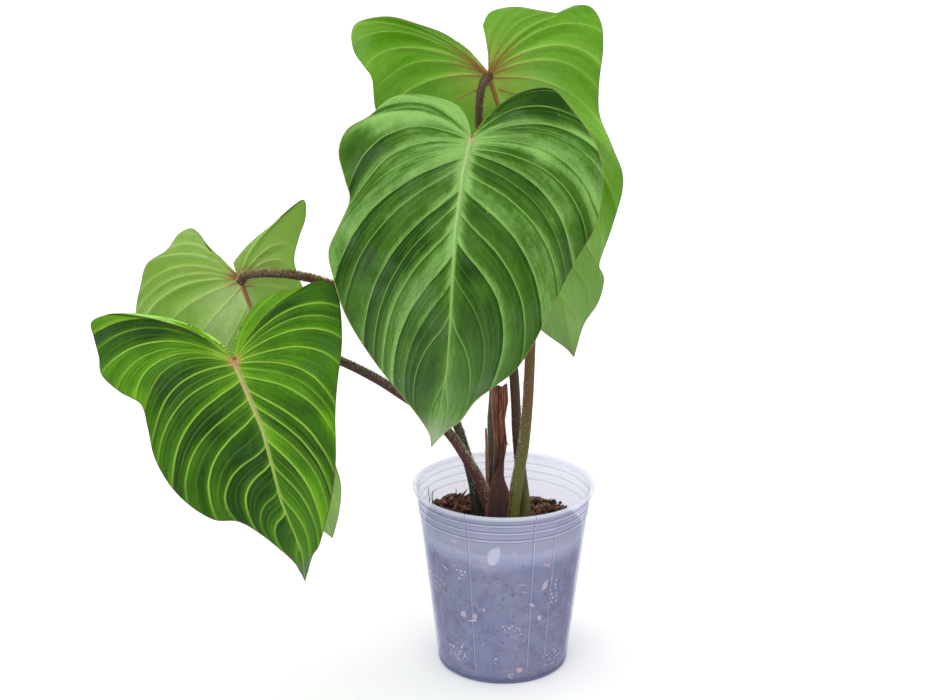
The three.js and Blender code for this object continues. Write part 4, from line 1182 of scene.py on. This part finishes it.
def potHighlightLinesGroup():
    # painted highlights: thin light lines along ribs and rings, with thin painted shadow lines beside them;
    # partly the thicker, less clear plastic there
    n, given = newGroup("potHighlightShadeLines", {"Away": 5.0, "Half Width": 0.4, "Dark Shift": 0.9, "Other Side": 0.4})

    def lineAt(place):
        away = n.calc("ABSOLUTE", n.minus(given["Away"], place))
        return n.between(away, n.times(given["Half Width"], 0.3), given["Half Width"], 1, 0)

    other = n.times(lineAt(n.times(given["Dark Shift"], -1)), given["Other Side"])
    return n.asGroup({"Light": lineAt(0), "Dark": n.larger(lineAt(given["Dark Shift"]), other)})


potLooks = {
    "rib": {"Half Width": 0.42, "Dark Shift": -0.75, "Other Side": 0.3},
    "ring": {"Half Width": 0.6, "Dark Shift": 1.05, "Other Side": 0.6},
    "wall": ((0.48, 0.52, 0.92, 1), (0.58, 0.62, 0.97, 1)),
    # heights in metres, where the ribs, the upper part and the lip begin and where the foot's rim ends
    "ribsFrom": (0.004, 0.012), "upperFrom": (0.083, 0.097), "lipFrom": (0.121, 0.1235),
    "rimEnds": (0.001, 0.0026),
    # for each mask: how much of its tint shows, the tint, and how much less clear it makes the wall
    "upper": (0.8, (0.62, 0.67, 0.91, 1), 0.2), "edge": (0.7, (0.78, 0.82, 1, 1), 0.4),
    # light and dark: painted highlight lines on the ribs and rings and painted shadow lines beside them,
    # partly the thicker plastic there
    "light": (0.7, (0.8, 0.82, 1, 1), 0.2), "lip": (1, (0.78, 0.82, 1, 1), 0.2),
    "behind": (0.8, (0.75, 0.76, 1, 1), -0.2), "dark": (0.9, (0.12, 0.13, 0.32, 1), 0.36),
    "rim": (1, (0.14, 0.16, 0.45, 1), 0.6),
}


def clearPotMaterial():
    material, n = newMaterial("clearPot")
    place, lines = n.place(), potHighlightLinesGroup()
    ribs = n.use(lines, {"Away": n.read("toRib"), **potLooks["rib"]})
    rings = n.use(lines, {"Away": n.read("toRing"), **potLooks["ring"]})
    cloud = n.noiseAt(place, 26, 3)
    height = n.put("SeparateXYZ", {"Vector": place})["Z"]
    onWall = n.between(height, *potLooks["ribsFrom"])
    behind = n.larger(n.read("innerFace"), n.put("NewGeometry")["Backfacing"])
    shown = n.timesPlus(behind, -0.94, 1)
    # painted highlights on the crests and painted shadows beside them
    light, dark = (n.times(n.larger(n.times(ribs[key], onWall), rings[key]), shown)
                   for key in ("Light", "Dark"))
    masks = {
        "light": light, "dark": dark, "behind": behind, "upper": n.between(height, *potLooks["upperFrom"]),
        "edge": n.between(n.put("LayerWeight", {"Blend": 0.35})["Facing"], 0.45, 0.95),
        "lip": n.between(height, *potLooks["lipFrom"]),
        "rim": n.between(height, *potLooks["rimEnds"], 1, 0),
    }
    tint = n.blend(n.between(cloud, 0.35, 0.65), *potLooks["wall"])
    for key in ("upper", "edge", "light", "lip", "behind", "dark", "rim"):
        share, coat = potLooks[key][:2]
        tint = n.blend(n.times(masks[key], share), tint, coat)
    clear = 0.2
    for key in ("upper", "lip", "edge", "light", "dark"):
        clear = n.timesPlus(masks[key], potLooks[key][2], clear)
    clear = n.times(clear, n.timesPlus(behind, potLooks["behind"][2], 1))
    n.dress({
        "Base Color": tint, "Alpha": n.timesPlus(masks["rim"], potLooks["rim"][2], clear, clamp=True),
        "Roughness": n.between(cloud, 0.3, 0.7, 0.2, 0.34), "IOR": 1.45,
        "Normal": n.bump(cloud, 0.1, 0.0006),
    })
    return material


buildPot(clearPotMaterial())
print("pot built")


# Bark mix

soil = {
    "level": 97, "heapHeight": 10, "heapX": -34, "heapY": 14, "heapSpread": 20, "bottom": 1.75, "gap": 0.35,
    "inside": 0.9, "fibres": 50, "stemHole": 9.5, "lumpJag": 0.34, "lumpBox": 0.6, "bitJag": 0.4,
    # places of white glints on the side: angle, height, reach
    "glints": [(43, 68, 12), (41, 59, 9), (-44, 16, 11), (-6, 18, 9), (-33, 80, 9), (42, 27, 4),
               (14, 27, 4)],
    "segments": 180, "rings": 26,
}


def soilHeight(x, y):
    away = ((x - soil["heapX"]) ** 2 + (y - soil["heapY"]) ** 2) / soil["heapSpread"] ** 2
    heap = soil["heapHeight"] * math.exp(-away)
    return soil["level"] + heap + 1.6 * noise.noise(Vector((x, y, 3)) * 0.12)


def soilEdge(z):
    return potOuter(z) - soil["inside"] - soil["gap"]


def buildSoilBody(material):
    bm = bmesh.new()
    top = soil["level"] - 4
    side = [(soilEdge(z), z) for z in np.linspace(soil["bottom"] + 1.5, top, 28)]
    ring = [(soilEdge(top) * (1 - (i + 0.4) / soil["rings"]), top) for i in range(soil["rings"])]
    points = [(0, soil["bottom"]), (soilEdge(0) - 1.5, soil["bottom"])] + side + ring + [(0, top)]
    spinProfile(bm, [(radius * mm, z * mm) for radius, z in points], soil["segments"], 0.00001)
    layers = floatLayers(bm, "onTop", "glints")
    for v in bm.verts:
        x, y, z = (c / mm for c in v.co)
        radius = math.hypot(x, y)
        angle = math.degrees(math.atan2(x, -y))
        v[layers["glints"]] = max(
            max(0, 1 - math.hypot(math.radians(angle - at) * radius, z - rise) / reach)
            for at, rise, reach in soil["glints"])
        v[layers["onTop"]] = float(z > top - 0.1 and radius < soilEdge(top) - 1)
        if z > top - 0.1 and radius < soilEdge(top) - 0.5:
            rough = 1.5 * noise.noise(Vector((x, y, 7)) * 0.35)
            v.co.z = (soilHeight(x, y) - 1.2 + rough) * mm
        elif z > soil["bottom"] + 2:
            shrink = 1 - (0.35 + 0.5 * noise.noise(Vector((x, y, z)) * 0.09)) / radius
            v.co.x *= min(1, shrink)
            v.co.y *= min(1, shrink)
    bmesh.ops.recalc_face_normals(bm, faces=bm.faces)
    return makePiece(bm, "soilBody", [material], ["substrate"])


def turnedMatrix(draws, place, tilt, scale):
    spin = Matrix.Rotation(draws.uniform(0, 2 * math.pi), 4, "Z")
    tips = [Matrix.Rotation(draws.uniform(-tilt, tilt), 4, axis) for axis in "XY"]
    return Matrix.Translation(place) @ spin @ (tips[0] @ tips[1]) @ Matrix.Diagonal((*scale, 1))


def scatterLumps(name, draws, count, sizes, tilt, material, spread=1.0, detail=2, lift=0.8):
    bm = bmesh.new()
    bm.verts.layers.float.new("lumpTone")
    part = bmesh.new()
    layer = part.verts.layers.float.new("lumpTone")
    reach = soilEdge(soil["level"]) - 3
    placed = 0
    while placed < count:
        turn = draws.uniform(0, 2 * math.pi)
        radius = reach * math.sqrt(draws.uniform(0.01, 1)) * spread
        x, y = radius * math.cos(turn), radius * math.sin(turn)
        if math.hypot(x + 2, y + 0.5) < soil["stemHole"]:
            continue
        placed += 1
        long, wide, thick = (draws.uniform(*size) / 2 for size in sizes)
        place = Vector((x, y, soilHeight(x, y) + lift * thick)) * mm
        room = (soilEdge(place.z / mm) - radius) / max(long, 0.1)
        long *= min(1, max(0.35, room))
        matrix = turnedMatrix(draws, place, tilt, (long * mm, wide * mm, thick * mm))
        made = bmesh.ops.create_icosphere(part, subdivisions=detail, radius=1)
        shape = draws.uniform(0, 100)
        shade = draws.random()
        for v in made["verts"]:
            jag = 1 + soil["lumpJag"] * noise.noise(v.co * 1.7 + Vector((shape, 0, 0)))
            boxed = Vector([math.copysign(abs(c) ** soil["lumpBox"], c) for c in v.co])
            v.co = matrix @ (boxed * jag * 0.85)
            v[layer] = shade
        if placed % 30 == 0 or placed == count:
            pour(bm, part)
            part = bmesh.new()
            layer = part.verts.layers.float.new("lumpTone")
    part.free()
    return makePiece(bm, name, [material], smooth=detail > 1 and name == "perlite")


def scatterFibres(draws, material):
    bm = bmesh.new()
    layer = bm.verts.layers.float.new("lumpTone")
    for i in range(soil["fibres"]):
        turn = draws.uniform(0, 2 * math.pi)
        radius = draws.uniform(14, 48)
        x, y = radius * math.cos(turn), radius * math.sin(turn)
        start = np.array([x, y, soilHeight(x, y)])
        heading = draws.uniform(0, 2 * math.pi)
        rise = draws.uniform(0.1, 0.9)
        length = draws.uniform(5, 14)
        ahead = np.array([math.cos(heading), math.sin(heading), rise]) * length / 3
        side = np.array([-math.sin(heading), math.cos(heading), -0.5]) * draws.uniform(-2, 2)
        route = [start, start + ahead, start + ahead * 2 + side, start + ahead * 2.6 + side * 2.2]
        if any(math.hypot(p[0], p[1]) > soilEdge(100) - 1 for p in route):
            continue
        centres = curvePoints(route, np.linspace(0, 1, 12))
        verts = addTube(bm, centres, np.linspace(draws.uniform(0.25, 0.6), 0.06, 12), 5)[0]
        shade = draws.uniform(0, 0.6)
        for v in verts:
            v.co = v.co * mm
            v[layer] = shade
    closeSeams(bm)
    return makePiece(bm, "fibres", [material])


# sticks that stand out of the mix: their points and how thick they are
sticks = [
    ([[-48.9, 6, 106], [-48.9, 6, 111.1], [-49.6, 6, 116.1], [-49.3, 6, 120.4]], 0.3),
    ([[-46.5, 6, 106], [-47.2, 6, 112.5], [-46.6, 6, 116.1], [-44.6, 6, 118.3]], 0.45),
    ([[-33, 2, 104], [-30.3, 2, 110.3], [-27.4, 2, 114.9], [-23.9, 2, 119.6]], 1.1),
    ([[-40, 10, 104], [-36, 9, 109], [-30, 8, 110], [-26, 8, 106]], 0.8),
    ([[18.6, 12, 107], [22, 12, 108.5], [25.2, 12, 106.3], [30, 11, 101]], 0.9),
    ([[27.9, 10, 102], [29.5, 10, 107], [31.8, 10, 109.8], [32.5, 10, 109]], 0.4),
    ([[40, 8, 99], [40.8, 8, 101.7], [42.4, 8, 103.5], [43, 8, 104]], 1.0),
]


def placeSticks(name, routes, material):
    bm = bmesh.new()
    layer = bm.verts.layers.float.new("lumpTone")
    for route, thick in routes:
        centres = curvePoints(route, np.linspace(0, 1, 16))
        radii = np.interp(np.linspace(0, 1, 16), [0, 0.8, 1], [thick, thick * 0.7, thick * 0.15])
        for v in addTube(bm, centres, radii, 7)[0]:
            v.co = v.co * mm
            v[layer] = min(0.95, 0.1 + 0.75 * thick)
    closeSeams(bm)
    return makePiece(bm, name, [material])


def barkGrainGroup():
    n, given = newGroup("barkGrain", {
        "Dark": (40, 26, 20), "Brown": (92, 60, 42), "Pale": (150, 112, 84),
        "Scale": 160.0, "Tone Span": 0.0,
    })
    coarse = n.noiseAt(n.place(), given["Scale"], 5, 0.65)
    level = n.plus(coarse, n.times(n.minus(n.read("lumpTone"), 0.5), given["Tone Span"]))
    skin = n.coats(
        given["Dark"],
        (n.between(level, 0.32, 0.56), given["Brown"]),
        (n.between(level, 0.58, 0.78), given["Pale"]),
    )
    return n.asGroup({"Color": skin, "Height": coarse})


# dark, middle and pale tone, how much lumps differ, how fine the grain is, and roughness
barkLooks = {
    "barkChip": ((38, 20, 14), (122, 72, 46), (190, 134, 98), 0.36),
    "perlite": ((190, 186, 180), (225, 222, 216), (245, 243, 240), 0.0, 400.0),
    "fibre": ((34, 22, 18), (84, 54, 40), (128, 96, 74), 0.4),
    "stemSkin": ((56, 44, 30), (94, 76, 52), (138, 118, 84), 0.0, 160.0, 0.7),
    "dryShred": ((30, 18, 16), (46, 28, 24), (80, 50, 40), 0.4),
}


def barkMaterial(name, group, dark, brown, pale, toneSpan=0.0, scale=160.0, rough=0.85):
    values = {"Dark": dark, "Brown": brown, "Pale": pale, "Tone Span": toneSpan, "Scale": scale}
    return skinMaterial(name, group, values, 0.8, 0.0012, rough)


def soilSideMaterial(group):
    # the side is tinted like the plastic it is seen through; the top is dark bark
    material, n = newMaterial("barkMixSide")
    place = n.place()
    skin = n.use(group, {
        "Dark": (50, 46, 82), "Brown": (102, 102, 136), "Pale": (158, 156, 182), "Scale": 110.0})
    patches = n.noiseAt(place, 70)
    edge = n.vary(n.put("SeparateXYZ", {"Vector": place})["Z"], patches, 0.02)
    upperBand = n.between(edge, 0.083, 0.0915)
    below = n.minus(1, upperBand)

    def specks(scale, first, last, least, channel):
        away, drawn = n.cells(place, scale, channel, least)
        return n.times(n.between(away, first, last, 1, 0), drawn)

    tan = n.times(n.between(patches, 0.56, 0.64), n.between(upperBand, 0, 1, 0.1, 0.5))
    brown = n.larger(specks(330, 0.28, 0.38, 0.5, 0), specks(170, 0.18, 0.25, 0.55, 1))
    brown = n.times(brown, n.between(n.noiseAt(place, 46), 0.36, 0.52, 0.35, 1))
    cluster = n.timesPlus(n.read("glints"), 0.46, n.noiseAt(place, 40, 1))
    sparkle = n.times(specks(480, 0.2, 0.36, 0.3, 1), n.between(cluster, 0.62, 0.7))
    made = n.coats(
        skin["Color"],
        (upperBand, (148, 140, 176)),
        (tan, (206, 170, 160)),
        (n.times(brown, below), (30, 6, 10)),
        (n.times(sparkle, below), (1, 1, 1, 1)),
        (n.read("onTop"), (44, 24, 16)),
    )
    n.dress({"Base Color": made, "Roughness": 0.8, "Normal": n.bump(skin["Height"], 0.6, 0.0012)})
    return material


# pieces pressed against the plastic: angle from the front, height, width, height of the piece, turn, tone
sideBits = [
    (-7.4, 95.4, 8.6, 14, 12, 0.95), (-42.2, 94.7, 3, 7, 10, 0.6), (-36.4, 102, 4, 2.6, 0, 0.6),
    (6.7, 97, 2.6, 4.4, -10, 0.62), (32.3, 85.6, 6, 2, 30, 0.5), (31.8, 71, 3.6, 8, 25, 0.7),
    (21.6, 58.2, 4.6, 1.8, 25, 0.8), (29.3, 47.2, 3.2, 3.6, 0, 0.75), (-33.7, 49.2, 4.2, 4.4, 0, 0.7),
    (-23.7, 49.5, 3.6, 3.8, 0, 0.6), (-25.5, 45.9, 6.4, 1.5, -15, 0.9), (-16, 55.4, 2.2, 2.6, 0, 0.6),
    (13.8, 9.7, 4.6, 4.2, 40, 0.62), (5.7, 4.5, 3.6, 1.4, 40, 0.6), (12.7, 74.2, 5.4, 1.2, 5, 0.4),
    (15.9, 68.5, 4.4, 1, 15, 0.4), (-49, 79.7, 6, 1, 25, 0.6), (-7.3, 80.5, 2.8, 3.4, 40, 0.1),
    (-19.6, 91.9, 1.8, 1.6, 0, 0.0), (-51, 68, 1.8, 2.2, 0, 0.0), (52.5, 73.9, 2.4, 5, 30, 0.0),
    (-29.7, 9.5, 4.6, 3.2, 0, 0.05), (-12.2, 35.9, 2.2, 2.2, 0, 0.1), (-58.6, 85.8, 2, 3.6, 0, 0.05),
]


def addSideBits(bits, draws, material):
    bm = bmesh.new()
    layer = bm.verts.layers.float.new("lumpTone")
    for angle, z, wide, tall, turn, toneShare in bits:
        around = math.radians(angle)
        radius = soilEdge(z) - 0.15
        place = Vector((radius * math.sin(around), -radius * math.cos(around), z)) * mm
        matrix = (Matrix.Rotation(around, 3, "Z") @ Matrix.Rotation(math.radians(turn), 3, "Y")
                  @ Matrix.Diagonal((wide / 2, 0.35, tall / 2)))
        made = bmesh.ops.create_icosphere(bm, subdivisions=2, radius=1)
        shape = draws.uniform(0, 100)
        for v in made["verts"]:
            jag = 1 + soil["bitJag"] * noise.noise(v.co * 1.5 + Vector((shape, 0, 0)))
            v.co = place + matrix @ (v.co * jag) * mm
            v[layer] = toneShare
    return makePiece(bm, "sideBits", [material])


def sideBitMaterial():
    material, n = newMaterial("sideBit")
    moved = n.vary(n.read("lumpTone"), n.noiseAt(n.place(), 320, 3), 0.4)
    skin = n.blend(n.between(moved, 0, 0.5), (64, 26, 30), (222, 176, 166))
    skin = n.blend(n.between(moved, 0.55, 0.9), skin, (250, 246, 246))
    n.dress({"Base Color": skin, "Roughness": 0.8})
    return material


# number, ranges of length, width and thickness, how far they tip, finish, and what else differs
lumps = {
    "barkCrumbs": (850, [(2.5, 8), (1.4, 3.4), (0.8, 2)], 0.7, "barkChip", {"detail": 1}),
    "barkChips": (70, [(6, 14), (2.4, 5), (1.2, 2.8)], 0.6, "barkChip", {"lift": 1.6}),
    "perlite": (8, [(1.4, 3.2), (1.4, 3), (1.2, 2.6)], 1.5, "perlite", {"spread": 0.97}),
}
barkGrain = barkGrainGroup()
barkMaterials = {name: barkMaterial(name, barkGrain, *looks) for name, looks in barkLooks.items()}
soilDraws = random.Random(12)
buildSoilBody(soilSideMaterial(barkGrain))
for name, (count, sizes, tilt, finish, others) in lumps.items():
    scatterLumps(name, soilDraws, count, sizes, tilt, barkMaterials[finish], **others)
addSideBits(sideBits, soilDraws, sideBitMaterial())
scatterFibres(soilDraws, barkMaterials["fibre"])
placeSticks("barkSticks", sticks, barkMaterials["fibre"])
print("soil built")


# Stem, dried sheaths and the rolled young leaf

stem = {"x": -2, "y": -0.5, "radius": 9, "bottom": 62, "top": 106, "segments": 60}

# tones: dark, middle and pale skin, and the skin near the foot
# gloom: how dark the painted shade in the groove is, and how much darker the skin is towards the foot
sheaths = {
    "tall": {
        "points": [[-3.4, -2, 106.4], [-3.4, -2, 128], [-3.1, -2, 141], [-2.2, -1.9, 152],
                   [-3, -1.8, 164], [-3.4, -1.8, 170.5], [-2.8, -1.6, 182], [-3.1, -1.5, 193.5]],
        "widths": [5.8, 5.8, 5.6, 7.4, 7.1, 7.4, 9.8, 9], "thickness": 1.2, "curl": 5.5, "rib": 1.7,
        "ragged": 1.6, "groove": -0.16, "outward": (0, -1, 0), "node": "sheath_tall",
        "tones": [(72, 32, 20), (166, 98, 72), (242, 172, 138), (42, 16, 10)],
        "gloom": 0.95, "footEnd": 0.72,
    },
    "low": {
        "points": [[-4.5, -15.6, 93], [-4.6, -16.6, 108], [-3.9, -16.6, 116], [-3.2, -16.4, 122.5],
                   [-3.4, -15.6, 128], [-3.7, -14.4, 133], [-2.7, -12.4, 138.5], [-1.2, -9.8, 144],
                   [-0.7, -7, 150], [-0.8, -5.6, 155]],
        "widths": [15.5, 15, 15.2, 14.1, 11.6, 8.4, 4.5, 2.4, 1.8, 1.4], "thickness": 1, "curl": 16,
        "rib": 0.4, "ragged": 0.3, "groove": 0.12, "outward": (-0.1, -1, 0), "node": "sheath_low",
        "tones": [(50, 22, 16), (90, 44, 28), (156, 86, 56), (40, 18, 16)],
        "gloom": 0.6, "footEnd": 0.6,
    },
    "side": {
        "points": [[-10, 0.2, 106.4], [-10.4, 1, 125], [-10.8, 1.6, 139], [-11.2, 2.4, 150],
                   [-11.6, 3, 162]],
        "widths": [2.2, 2.1, 2.5, 2, 1.3], "thickness": 0.7, "curl": 4, "rib": 0.1, "ragged": 0.8,
        "groove": 0.4, "outward": (-0.5, -1, 0), "node": "sheath_side",
        "tones": [(160, 104, 88), (204, 148, 128), (236, 186, 164), (150, 86, 66)],
        "gloom": 0.3, "footEnd": 0.3,
    },
}

# a dry shred that sticks out of the tall sheath
shred = ([[0.2, -3.2, 160], [0.9, -3.4, 157.5], [1.9, -3.4, 154.6], [3, -3.3, 153], [4.1, -3.2, 151.8]],
         0.45)

youngLeaf = {"bottom": [-13.5, 10.75, 235.0], "top": [-27, 19, 330], "radius": 4.6, "turns": 2.2,
             "neck": [1.7, 0.7], "twist": 3.1, "thickness": 0.35}


def buildStem(material):
    r, bottom, top = stem["radius"], stem["bottom"], stem["top"]
    middle = (bottom + top) / 2
    outline = [[0.1, bottom], [r * 0.6, bottom], [r * 0.9, bottom + 6], [r * 0.84, middle - 8], [r, middle],
               [r * 0.9, middle + 9], [r, top - 4], [r * 0.86, top], [0.1, top]]
    points = curvePoints(outline, np.linspace(0, 1, 60))
    bm = bmesh.new()
    spinProfile(bm, [(max(0, radius), z) for radius, z in points], stem["segments"], 0.15)
    for v in bm.verts:
        rough = 0.5 * noise.noise(v.co * 0.4) + 0.25 * math.sin(v.co.z * 1.9)
        out = Vector((v.co.x, v.co.y, 0))
        if out.length > 1:
            v.co += out.normalized() * rough
        v.co = Vector((v.co.x + stem["x"], v.co.y + stem["y"], min(top, max(bottom, v.co.z)))) * mm
    bmesh.ops.recalc_face_normals(bm, faces=bm.faces)
    return makePiece(bm, "stemBody", [material], ["stem"])


def buildSheath(name, sheath, material, draws):
    steps, across = 90, 26
    bm = bmesh.new()
    bmesh.ops.create_grid(bm, x_segments=across, y_segments=steps, size=1)
    shares = np.linspace(0, 1, steps + 1)
    centres = curvePoints(sheath["points"], shares)
    widths = np.interp(centres[:, 2], [point[2] for point in sheath["points"]], sheath["widths"])
    layers = floatLayers(bm, "sheathAcross", "sheathAlong")
    seed = draws.uniform(0, 50)
    groove = sheath["groove"]
    outward = unit(np.array(sheath["outward"], float))
    sideways = np.array([-outward[1], outward[0], 0])
    for v in bm.verts:
        s = v.co.x
        i = round((v.co.y + 1) / 2 * steps)
        centre = centres[i]
        half = widths[i] / 2
        edge = 1 + 0.08 * noise.noise(Vector((i * 0.12, s * 2, seed))) * abs(s)
        sag = sheath["curl"] - math.sqrt(max(0, sheath["curl"] ** 2 - (s * half * 0.9) ** 2))
        fromGroove = (s - groove) / (1 + groove if s < groove else 1 - groove)
        ridge = sheath["rib"] * (0.5 - 0.5 * math.cos(2 * math.pi * fromGroove)) * (1 - 0.3 * i / steps)
        fibre = 0.16 * noise.noise(Vector((s * 9, i * 0.05, seed + 4)))
        depth = ridge - sag + fibre - 0.25
        lift = sheath["ragged"] * noise.noise(Vector((s * 1.6, seed, 0))) * (i / steps) ** 6
        place = centre + sideways * s * half * edge + outward * depth + up * lift
        v.co = Vector(place) * mm
        v[layers["sheathAcross"]] = fromGroove
        v[layers["sheathAlong"]] = i / steps
    bmesh.ops.recalc_face_normals(bm, faces=bm.faces)
    piece = makePiece(bm, name, [material], [sheath["node"]])
    addWall(piece, sheath["thickness"] * 0.8)


def drySkinGroup():
    n, given = newGroup("drySkin", {
        "Dark": (84, 46, 34), "Middle": (138, 84, 62), "Pale": (178, 124, 100), "Foot": (70, 30, 22),
        "Gloom": 0.9, "Foot End": 0.5,
    })
    across, along = n.read("sheathAcross"), n.read("sheathAlong")
    fibre = n.noiseAt(n.vector(n.times(across, 5), n.times(along, 3), 0), 2.4, 5, 0.6)
    grain = n.noiseAt(n.place(), 500)
    away = n.calc("ABSOLUTE", across)
    # painted shade in the groove between the ridges; the skin is also darker towards the foot
    groove = n.times(given["Gloom"], n.between(away, 0, 0.3, 1, 0))
    low = n.between(along, 0.2, given["Foot End"], 0.95, 0)
    skin = n.coats(
        given["Dark"],
        (n.between(fibre, 0.35, 0.65), given["Middle"]),
        (n.between(fibre, 0.56, 0.76), given["Pale"]),
        (n.times(low, given["Gloom"]), given["Foot"]),
        (groove, (46, 24, 20)),
        # painted highlight along the rolled edges
        (n.times(n.between(away, 0.84, 0.93), 0.75), given["Pale"]),
        (n.between(grain, 0.6, 0.75, 0, 0.3), (60, 32, 26)),
    )
    return n.asGroup({"Color": skin, "Height": fibre})


def buildYoungLeaf(material):
    steps, around = 120, 110
    bm = bmesh.new()
    bmesh.ops.create_grid(bm, x_segments=around, y_segments=steps, size=1)
    bottom, top = np.array(youngLeaf["bottom"], float), np.array(youngLeaf["top"], float)
    axis = unit(top - bottom)
    first = unit(np.cross(axis, [0, 1, 0]))
    second = np.cross(axis, first)
    layer = bm.verts.layers.float.new("rollTurn")
    for v in bm.verts:
        wrap = (v.co.x + 1) / 2
        x = (v.co.y + 1) / 2
        neck = float(np.interp(x, [0, 1], youngLeaf["neck"]))
        outer = neck + (youngLeaf["radius"] - neck) * math.sin(math.pi * x ** 0.8) ** 1.1
        radius = outer * (0.45 + 0.55 * wrap)
        turn = 2 * math.pi * youngLeaf["turns"] * wrap + x * youngLeaf["twist"]
        centre = bottom + (top - bottom) * x
        v.co = Vector(centre + (first * math.cos(turn) + second * math.sin(turn)) * radius) * mm
        v[layer] = wrap
    bmesh.ops.recalc_face_normals(bm, faces=bm.faces)
    piece = makePiece(bm, "youngLeafRoll", [material], ["leaf_young"])
    addWall(piece, youngLeaf["thickness"])


def youngLeafMaterial():
    material, n = newMaterial("leafYoung")
    turn = n.read("rollTurn")
    lines = n.calc("ABSOLUTE", n.calc("SINE", n.times(turn, 190)))
    cloud = n.noiseAt(n.place(), 110, 3)
    skin = n.coats(
        (112, 150, 66),
        (n.between(cloud, 0.35, 0.65), (142, 176, 88)),
        (n.between(lines, 0, 0.25, 0.4, 0), (170, 190, 116)),
        (n.between(turn, 0.985, 1, 0, 0.8), (150, 96, 70)),
    )
    n.dress({"Base Color": skin, "Roughness": 0.5, "Normal": n.bump(lines, 0.3, 0.0002)})
    return material


buildStem(barkMaterials["stemSkin"])
sheathDraws = random.Random(5)
drySkin = drySkinGroup()
for name, sheath in sheaths.items():
    label = capital(name)
    values = dict(zip(("Dark", "Middle", "Pale", "Foot"), sheath["tones"]))
    values |= {"Gloom": sheath["gloom"], "Foot End": sheath["footEnd"]}
    drySheath = skinMaterial(f"drySheath{label}", drySkin, values, 0.7, 0.0006, rough=0.7)
    buildSheath(f"sheath{label}", sheath, drySheath, sheathDraws)
placeSticks("sheathShred", [shred], barkMaterials["dryShred"])
buildYoungLeaf(youngLeafMaterial())
print("stem, sheaths and young leaf built")


# Camera, lights and floor

view = {
    "place": (-24.4, -1205.8, 611.1), "tilt": 90 - 18.1, "lens": 76.1, "sensor": 36, "floorSize": 14.0,
    "sunFrom": (-0.45, -0.5, 0.95), "sunPower": 1.6, "sunAngle": 100,
    "floorLight": (0.5, 0.5, 0.5, 1), "floorSeen": (0.93, 0.93, 0.93, 1),
}


def setView():
    scene = bpy.context.scene
    data = bpy.data.cameras.new("photoCamera")
    data.lens = view["lens"]
    data.sensor_width = view["sensor"]
    camera = bpy.data.objects.new("photoCamera", data)
    camera.location = Vector(view["place"]) * mm
    camera.rotation_euler = (math.radians(view["tilt"]), 0, 0)
    scene.camera = camera
    scene.view_settings.view_transform = "Standard"

    light = bpy.data.lights.new("softSun", "SUN")
    light.energy = view["sunPower"]
    light.angle = math.radians(view["sunAngle"])
    sun = bpy.data.objects.new("softSun", light)
    sun.location = view["sunFrom"]
    sun.rotation_euler = (-Vector(view["sunFrom"])).to_track_quat("-Z", "Y").to_euler()

    world = bpy.data.worlds.new("studio")
    world.use_nodes = True
    world.node_tree.nodes["Background"].inputs["Color"].default_value = (1, 1, 1, 1)
    scene.world = world

    # the camera sees a paler floor than the light does
    material, n = newMaterial("paleFloor")
    seen = n.put("LightPath")["Is Camera Ray"]
    n.dress({"Base Color": n.blend(seen, view["floorLight"], view["floorSeen"]), "Roughness": 0.9,
             "Specular IOR Level": 0.0})
    bm = bmesh.new()
    bmesh.ops.create_grid(bm, x_segments=4, y_segments=4, size=view["floorSize"] / 2)
    mesh = bpy.data.meshes.new("floor")
    bm.to_mesh(mesh)
    bm.free()
    mesh.materials.append(material)
    floor = bpy.data.objects.new("floor", mesh)
    for thing in (camera, sun, floor):
        scene.collection.objects.link(thing)


setView()
print("view set")
